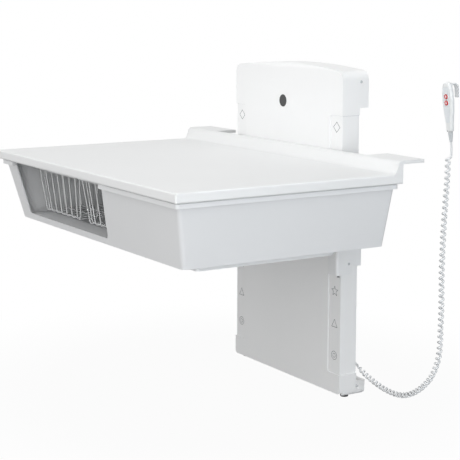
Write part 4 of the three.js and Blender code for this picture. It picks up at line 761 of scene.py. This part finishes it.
def bend_line(corners_list, radius, loop=False, steps_per_bend=5):
    """A line through corners with each bend rounded to a radius, or less where a side is short."""
    line = []
    count = len(corners_list)
    for i, corner in enumerate(corners_list):
        if not loop and i in (0, count - 1):
            line.append(corner)
            continue
        to_before = corners_list[i - 1] - corner
        to_after = corners_list[(i + 1) % count] - corner
        reach = min(radius, to_before.length * BEND_SHARE, to_after.length * BEND_SHARE)
        a = corner + to_before.normalized() * reach
        b = corner + to_after.normalized() * reach
        for k in range(steps_per_bend + 1):
            s = k / steps_per_bend
            line.append(a * (1 - s) ** 2 + corner * 2 * s * (1 - s) + b * s ** 2)
    return line


# A strip of grey foam seals the joint between the flange and the rim, a little way in from the edge. Its grey
# is partly painted shade: it draws the soft shadow line in that joint.
SEAL_WIDTH = 0.006
SEAL_INSET = 0.0042
FLANGE_CORNER = 0.011
FLANGE_GAP = 0.0025
SEAL_THICKNESS = 0.0023
low, high = [Vector(corner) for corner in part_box("tub")]
rim_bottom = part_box("table_top")[0][2]
left, right = low.x + SEAL_INSET, high.x - SEAL_INSET
front, back = low.y + SEAL_INSET, high.y - SEAL_INSET
seal_corners = [Vector((x, -y)) for x, y in ((left, front), (right, front), (right, back), (left, back))]
seal_line = bend_line(seal_corners, FLANGE_CORNER, True)
seal_height = rim_bottom - FLANGE_GAP / 2
laid_flat = Matrix.Rotation(math.radians(90), 4, "X")
shade_seal = ribbon_object("rim_shade_seal", [seal_line], SEAL_WIDTH, seal_height, SEAL_THICKNESS, laid_flat)
shade_seal.data.materials.append(shade_foam)
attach(shade_seal, "table")

# A ledge of the same sheet is welded behind the window's sill, with its back edge turned down.
LEDGE_MIDDLE = -0.171
LEDGE_HALF_WIDTH = 0.262
LEDGE_FRONT = -0.7440
LEDGE_BACK = -0.6780
LEDGE_TOP = 0.4778
LEDGE_SHEET = 0.003
LEDGE_TURN = 0.009
LEDGE_ROUNDING = 0.0012
left, right = LEDGE_MIDDLE - LEDGE_HALF_WIDTH, LEDGE_MIDDLE + LEDGE_HALF_WIDTH
under = LEDGE_TOP - LEDGE_SHEET
foot = LEDGE_TOP - LEDGE_TURN
inner = LEDGE_BACK - LEDGE_SHEET
profile = [(LEDGE_FRONT, LEDGE_TOP), (LEDGE_BACK, LEDGE_TOP), (LEDGE_BACK, foot), (inner, foot), (inner, under),
           (LEDGE_FRONT, under)]
count = len(profile)
verts = [(x, y, z) for x in (left, right) for y, z in profile]
faces = [tuple(range(count)), tuple(reversed(range(count, 2 * count)))]
faces += [(i, i + count, (i + 1) % count + count, (i + 1) % count) for i in range(count)]
ledge = mesh_object("window_ledge", verts, faces)
rounding = ledge.modifiers.new("rounded", "BEVEL")
rounding.width = LEDGE_ROUNDING
rounding.segments = 3
ledge.data.materials.append(abs_grey)
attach(ledge, "table")


# The wire baskets: drawn steel wire, bent, spot welded to a thicker rim and dipped in white plastic.
# Each hangs by its rim on two runners and pulls out to the front.
# Dipped plastic: off-white and half glossy, a little uneven along the wire.
coated_wire = surface("plastic-coated steel wire, white", "#DEDFE0", "#E8E9E9", 0.03, (0.30, 0.42))
BASKET_RIM_Z = 0.6110
BASKET_FLOOR_Z = 0.4835
BASKET_FRONT = -0.708
BASKET_BACK = -0.330
BASKET_LEAN = 0.016
RIM_HALF = 0.131
RIM_RADIUS = 0.0025
RIM_BEND = 0.012
FOOT_HALF = 0.109
WIRE_RADIUS = 0.0019
WIRE_BEND = 0.008
WIRE_SIDES = 10
WIRES_EACH_WAY = 7
LONG_SPREAD = 0.97
CROSS_SPREAD = 0.95
CROSS_LEAN_SHARE = 0.75
# Where wires are welded to each other, they sink a little into each other.
CROSS_LIFT = 1.5 * WIRE_RADIUS
WIRE_TOP = RIM_HALF - RIM_RADIUS - 0.7 * WIRE_RADIUS
for name, centre in (("left_basket", -0.3195), ("right_basket", -0.0225)):
    rim = [Vector((centre + x, y, BASKET_RIM_Z)) for x, y in (
        (-RIM_HALF, BASKET_FRONT), (RIM_HALF, BASKET_FRONT),
        (RIM_HALF, BASKET_BACK), (-RIM_HALF, BASKET_BACK))]
    wires = [(bend_line(rim, RIM_BEND, True), RIM_RADIUS, True)]
    middle_y = (BASKET_FRONT + BASKET_BACK) / 2
    reach = (BASKET_BACK - BASKET_FRONT) / 2 - BASKET_LEAN
    cross_z = BASKET_FLOOR_Z + CROSS_LIFT
    shares = [2 * i / (WIRES_EACH_WAY - 1) - 1 for i in range(WIRES_EACH_WAY)]
    for share in shares:
        high = centre + share * WIRE_TOP * LONG_SPREAD
        low = centre + share * FOOT_HALF * LONG_SPREAD
        corners = [
            (high, BASKET_FRONT, BASKET_RIM_Z), (low, BASKET_FRONT + BASKET_LEAN, BASKET_FLOOR_Z),
            (low, BASKET_BACK - BASKET_LEAN, BASKET_FLOOR_Z), (high, BASKET_BACK, BASKET_RIM_Z),
        ]
        wires.append((bend_line([Vector(c) for c in corners], WIRE_BEND), WIRE_RADIUS, False))
    for share in shares:
        high = middle_y + share * (reach + CROSS_LEAN_SHARE * BASKET_LEAN) * CROSS_SPREAD
        low = middle_y + share * reach * CROSS_SPREAD
        corners = [
            (centre - RIM_HALF, high, BASKET_RIM_Z), (centre - WIRE_TOP, high, BASKET_RIM_Z),
            (centre - FOOT_HALF, low, cross_z), (centre + FOOT_HALF, low, cross_z),
            (centre + WIRE_TOP, high, BASKET_RIM_Z), (centre + RIM_HALF, high, BASKET_RIM_Z),
        ]
        wires.append((bend_line([Vector(c) for c in corners], WIRE_BEND), WIRE_RADIUS, False))
    basket = tube_object(f"{name}_wires", wires, WIRE_SIDES)
    basket.data.materials.append(coated_wire)
    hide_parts(name)
    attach(basket, name)


# The safety plate: folded aluminium sheet, painted white, hung under the tub on four bolts.
# It stops the lift when it is pushed up, because its flag then leaves the slot sensor's beam.
# The plate takes the greyer paint; its grey is partly painted shade, for the shade under the tub.
dress(steel_paint_and_shade, "safety_plate", edge=0.0015)
HANGER_HEAD = 0.004
HANGER_SHANK = 0.004
for i in range(4):
    socket_screw(f"plate_hanger_{i + 1}", "table", (0, 0, -1), HANGER_HEAD, HANGER_SHANK)
dress(nylon, "safety_sensor", edge=0.001)


# The hand control: a white ABS front shell screwed to a grey rear one, which has the hook moulded on.
# A dark plug in the front shell's foot covers the screw.
# Moulded ABS: satin, with a grain of about 1 mm. The rear shell is a shade darker than the front one.
handset_white = surface("moulded ABS, grey-white", "#EAECEC", "#F0F1F1", 0.05, (0.40, 0.50), 1.52,
                        grain=0.001, depth=0.00001)
dress(handset_white, "handset_front_shell", edge=0.0005)
handset_grey = surface("moulded ABS, light grey", "#E0E2E3", "#E7E9EA", 0.05, (0.42, 0.52), 1.52,
                       grain=0.001, depth=0.00001)
dress(handset_grey, "handset_rear_shell", edge=0.0007)
handset_lay = Matrix.Translation(HANDSET_FOOT) @ Matrix.Rotation(HANDSET_TILT, 4, "X")
toward_front = handset_lay.to_3x3() @ Vector((0, -1, 0))
PLUG_SPOT = Vector((-0.0048, -0.0064, 0.0022))
PLUG_SECTION = ((0.0014, 0.0), (0.0014, 0.0003), (0.00098, 0.0005))
plug_rings = [ring(radius, height) for radius, height in PLUG_SECTION]
plug = stacked_object("handset_plug", plug_rings, handset_lay @ PLUG_SPOT, toward_front)
plug.data.materials.append(nylon)
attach(plug, "handset")

# Its keypad film is grey-blue polyester, even and satin, with a raised rim pressed round each button.
# Its strain relief is a ribbed sleeve of dull grey rubber. Its board is glass-epoxy under a green mask.
label_film = surface("printed polyester film, grey-blue", "#E2E7EA", "#E9EDEF", 0.02, (0.38, 0.46))
dress(label_film, "handset_label", edge=0.0002)
grey_rubber = surface("grey thermoplastic rubber", "#BFC2C4", "#C9CCCE", 0.006, (0.60, 0.70))
dress(grey_rubber, "strain_relief")
solder_mask = surface("glass-epoxy board, green mask", "#25592F", "#347040", 0.0012, (0.36, 0.44))
dress(solder_mask, "handset_board")
LABEL_FRONT = -0.0071
BUTTON_FRONT = -0.0083
BUTTON_RADIUS = 0.0064
BUTTON_HEIGHTS = {"up": 0.0940, "down": 0.0776}
KEY_RIM_RADIUS = BUTTON_RADIUS + 0.0014
KEY_RIM_WIDTH = 0.0018
KEY_RIM_HEIGHT = 0.0006
white_film = surface("printed polyester film, white", "#F2F3F4", "#F8F8F9", 0.02, (0.38, 0.46))
outlines = [round_outline(0, z, KEY_RIM_RADIUS, 40) for z in BUTTON_HEIGHTS.values()]
rims = ribbon_object("keypad_rims", outlines, KEY_RIM_WIDTH, LABEL_FRONT, KEY_RIM_HEIGHT, handset_lay)
rims.data.materials.append(white_film)
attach(rims, "handset")

# Its two buttons are moulded red ABS, satin, one with a white arrow up and one with a white arrow down.
red_abs = surface("moulded ABS, red", "#C4242B", "#D03138", 0.005, (0.34, 0.42))
dress(red_abs, "up_button", "down_button", edge=0.0008)
ARROW = ((0, 0.0038), (0.0031, 0.0006), (0.0012, 0.0006), (0.0012, -0.0036), (-0.0012, -0.0036),
         (-0.0012, 0.0006), (-0.0031, 0.0006))
ARROW_HALF_FILM = 0.00005
for way, sign in (("up", 1), ("down", -1)):
    verts = []
    for y in (BUTTON_FRONT - ARROW_HALF_FILM, BUTTON_FRONT + ARROW_HALF_FILM):
        verts += [handset_lay @ Vector((sign * x, y, BUTTON_HEIGHTS[way] + sign * z)) for x, z in ARROW]
    count = len(ARROW)
    faces = [tuple(reversed(range(count))), tuple(range(count, 2 * count))]
    faces += [(k, (k + 1) % count, (k + 1) % count + count, k + count) for k in range(count)]
    arrow = mesh_object(f"{way}_arrow", verts, faces)
    arrow.data.materials.append(white_film)
    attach(arrow, f"{way}_button")
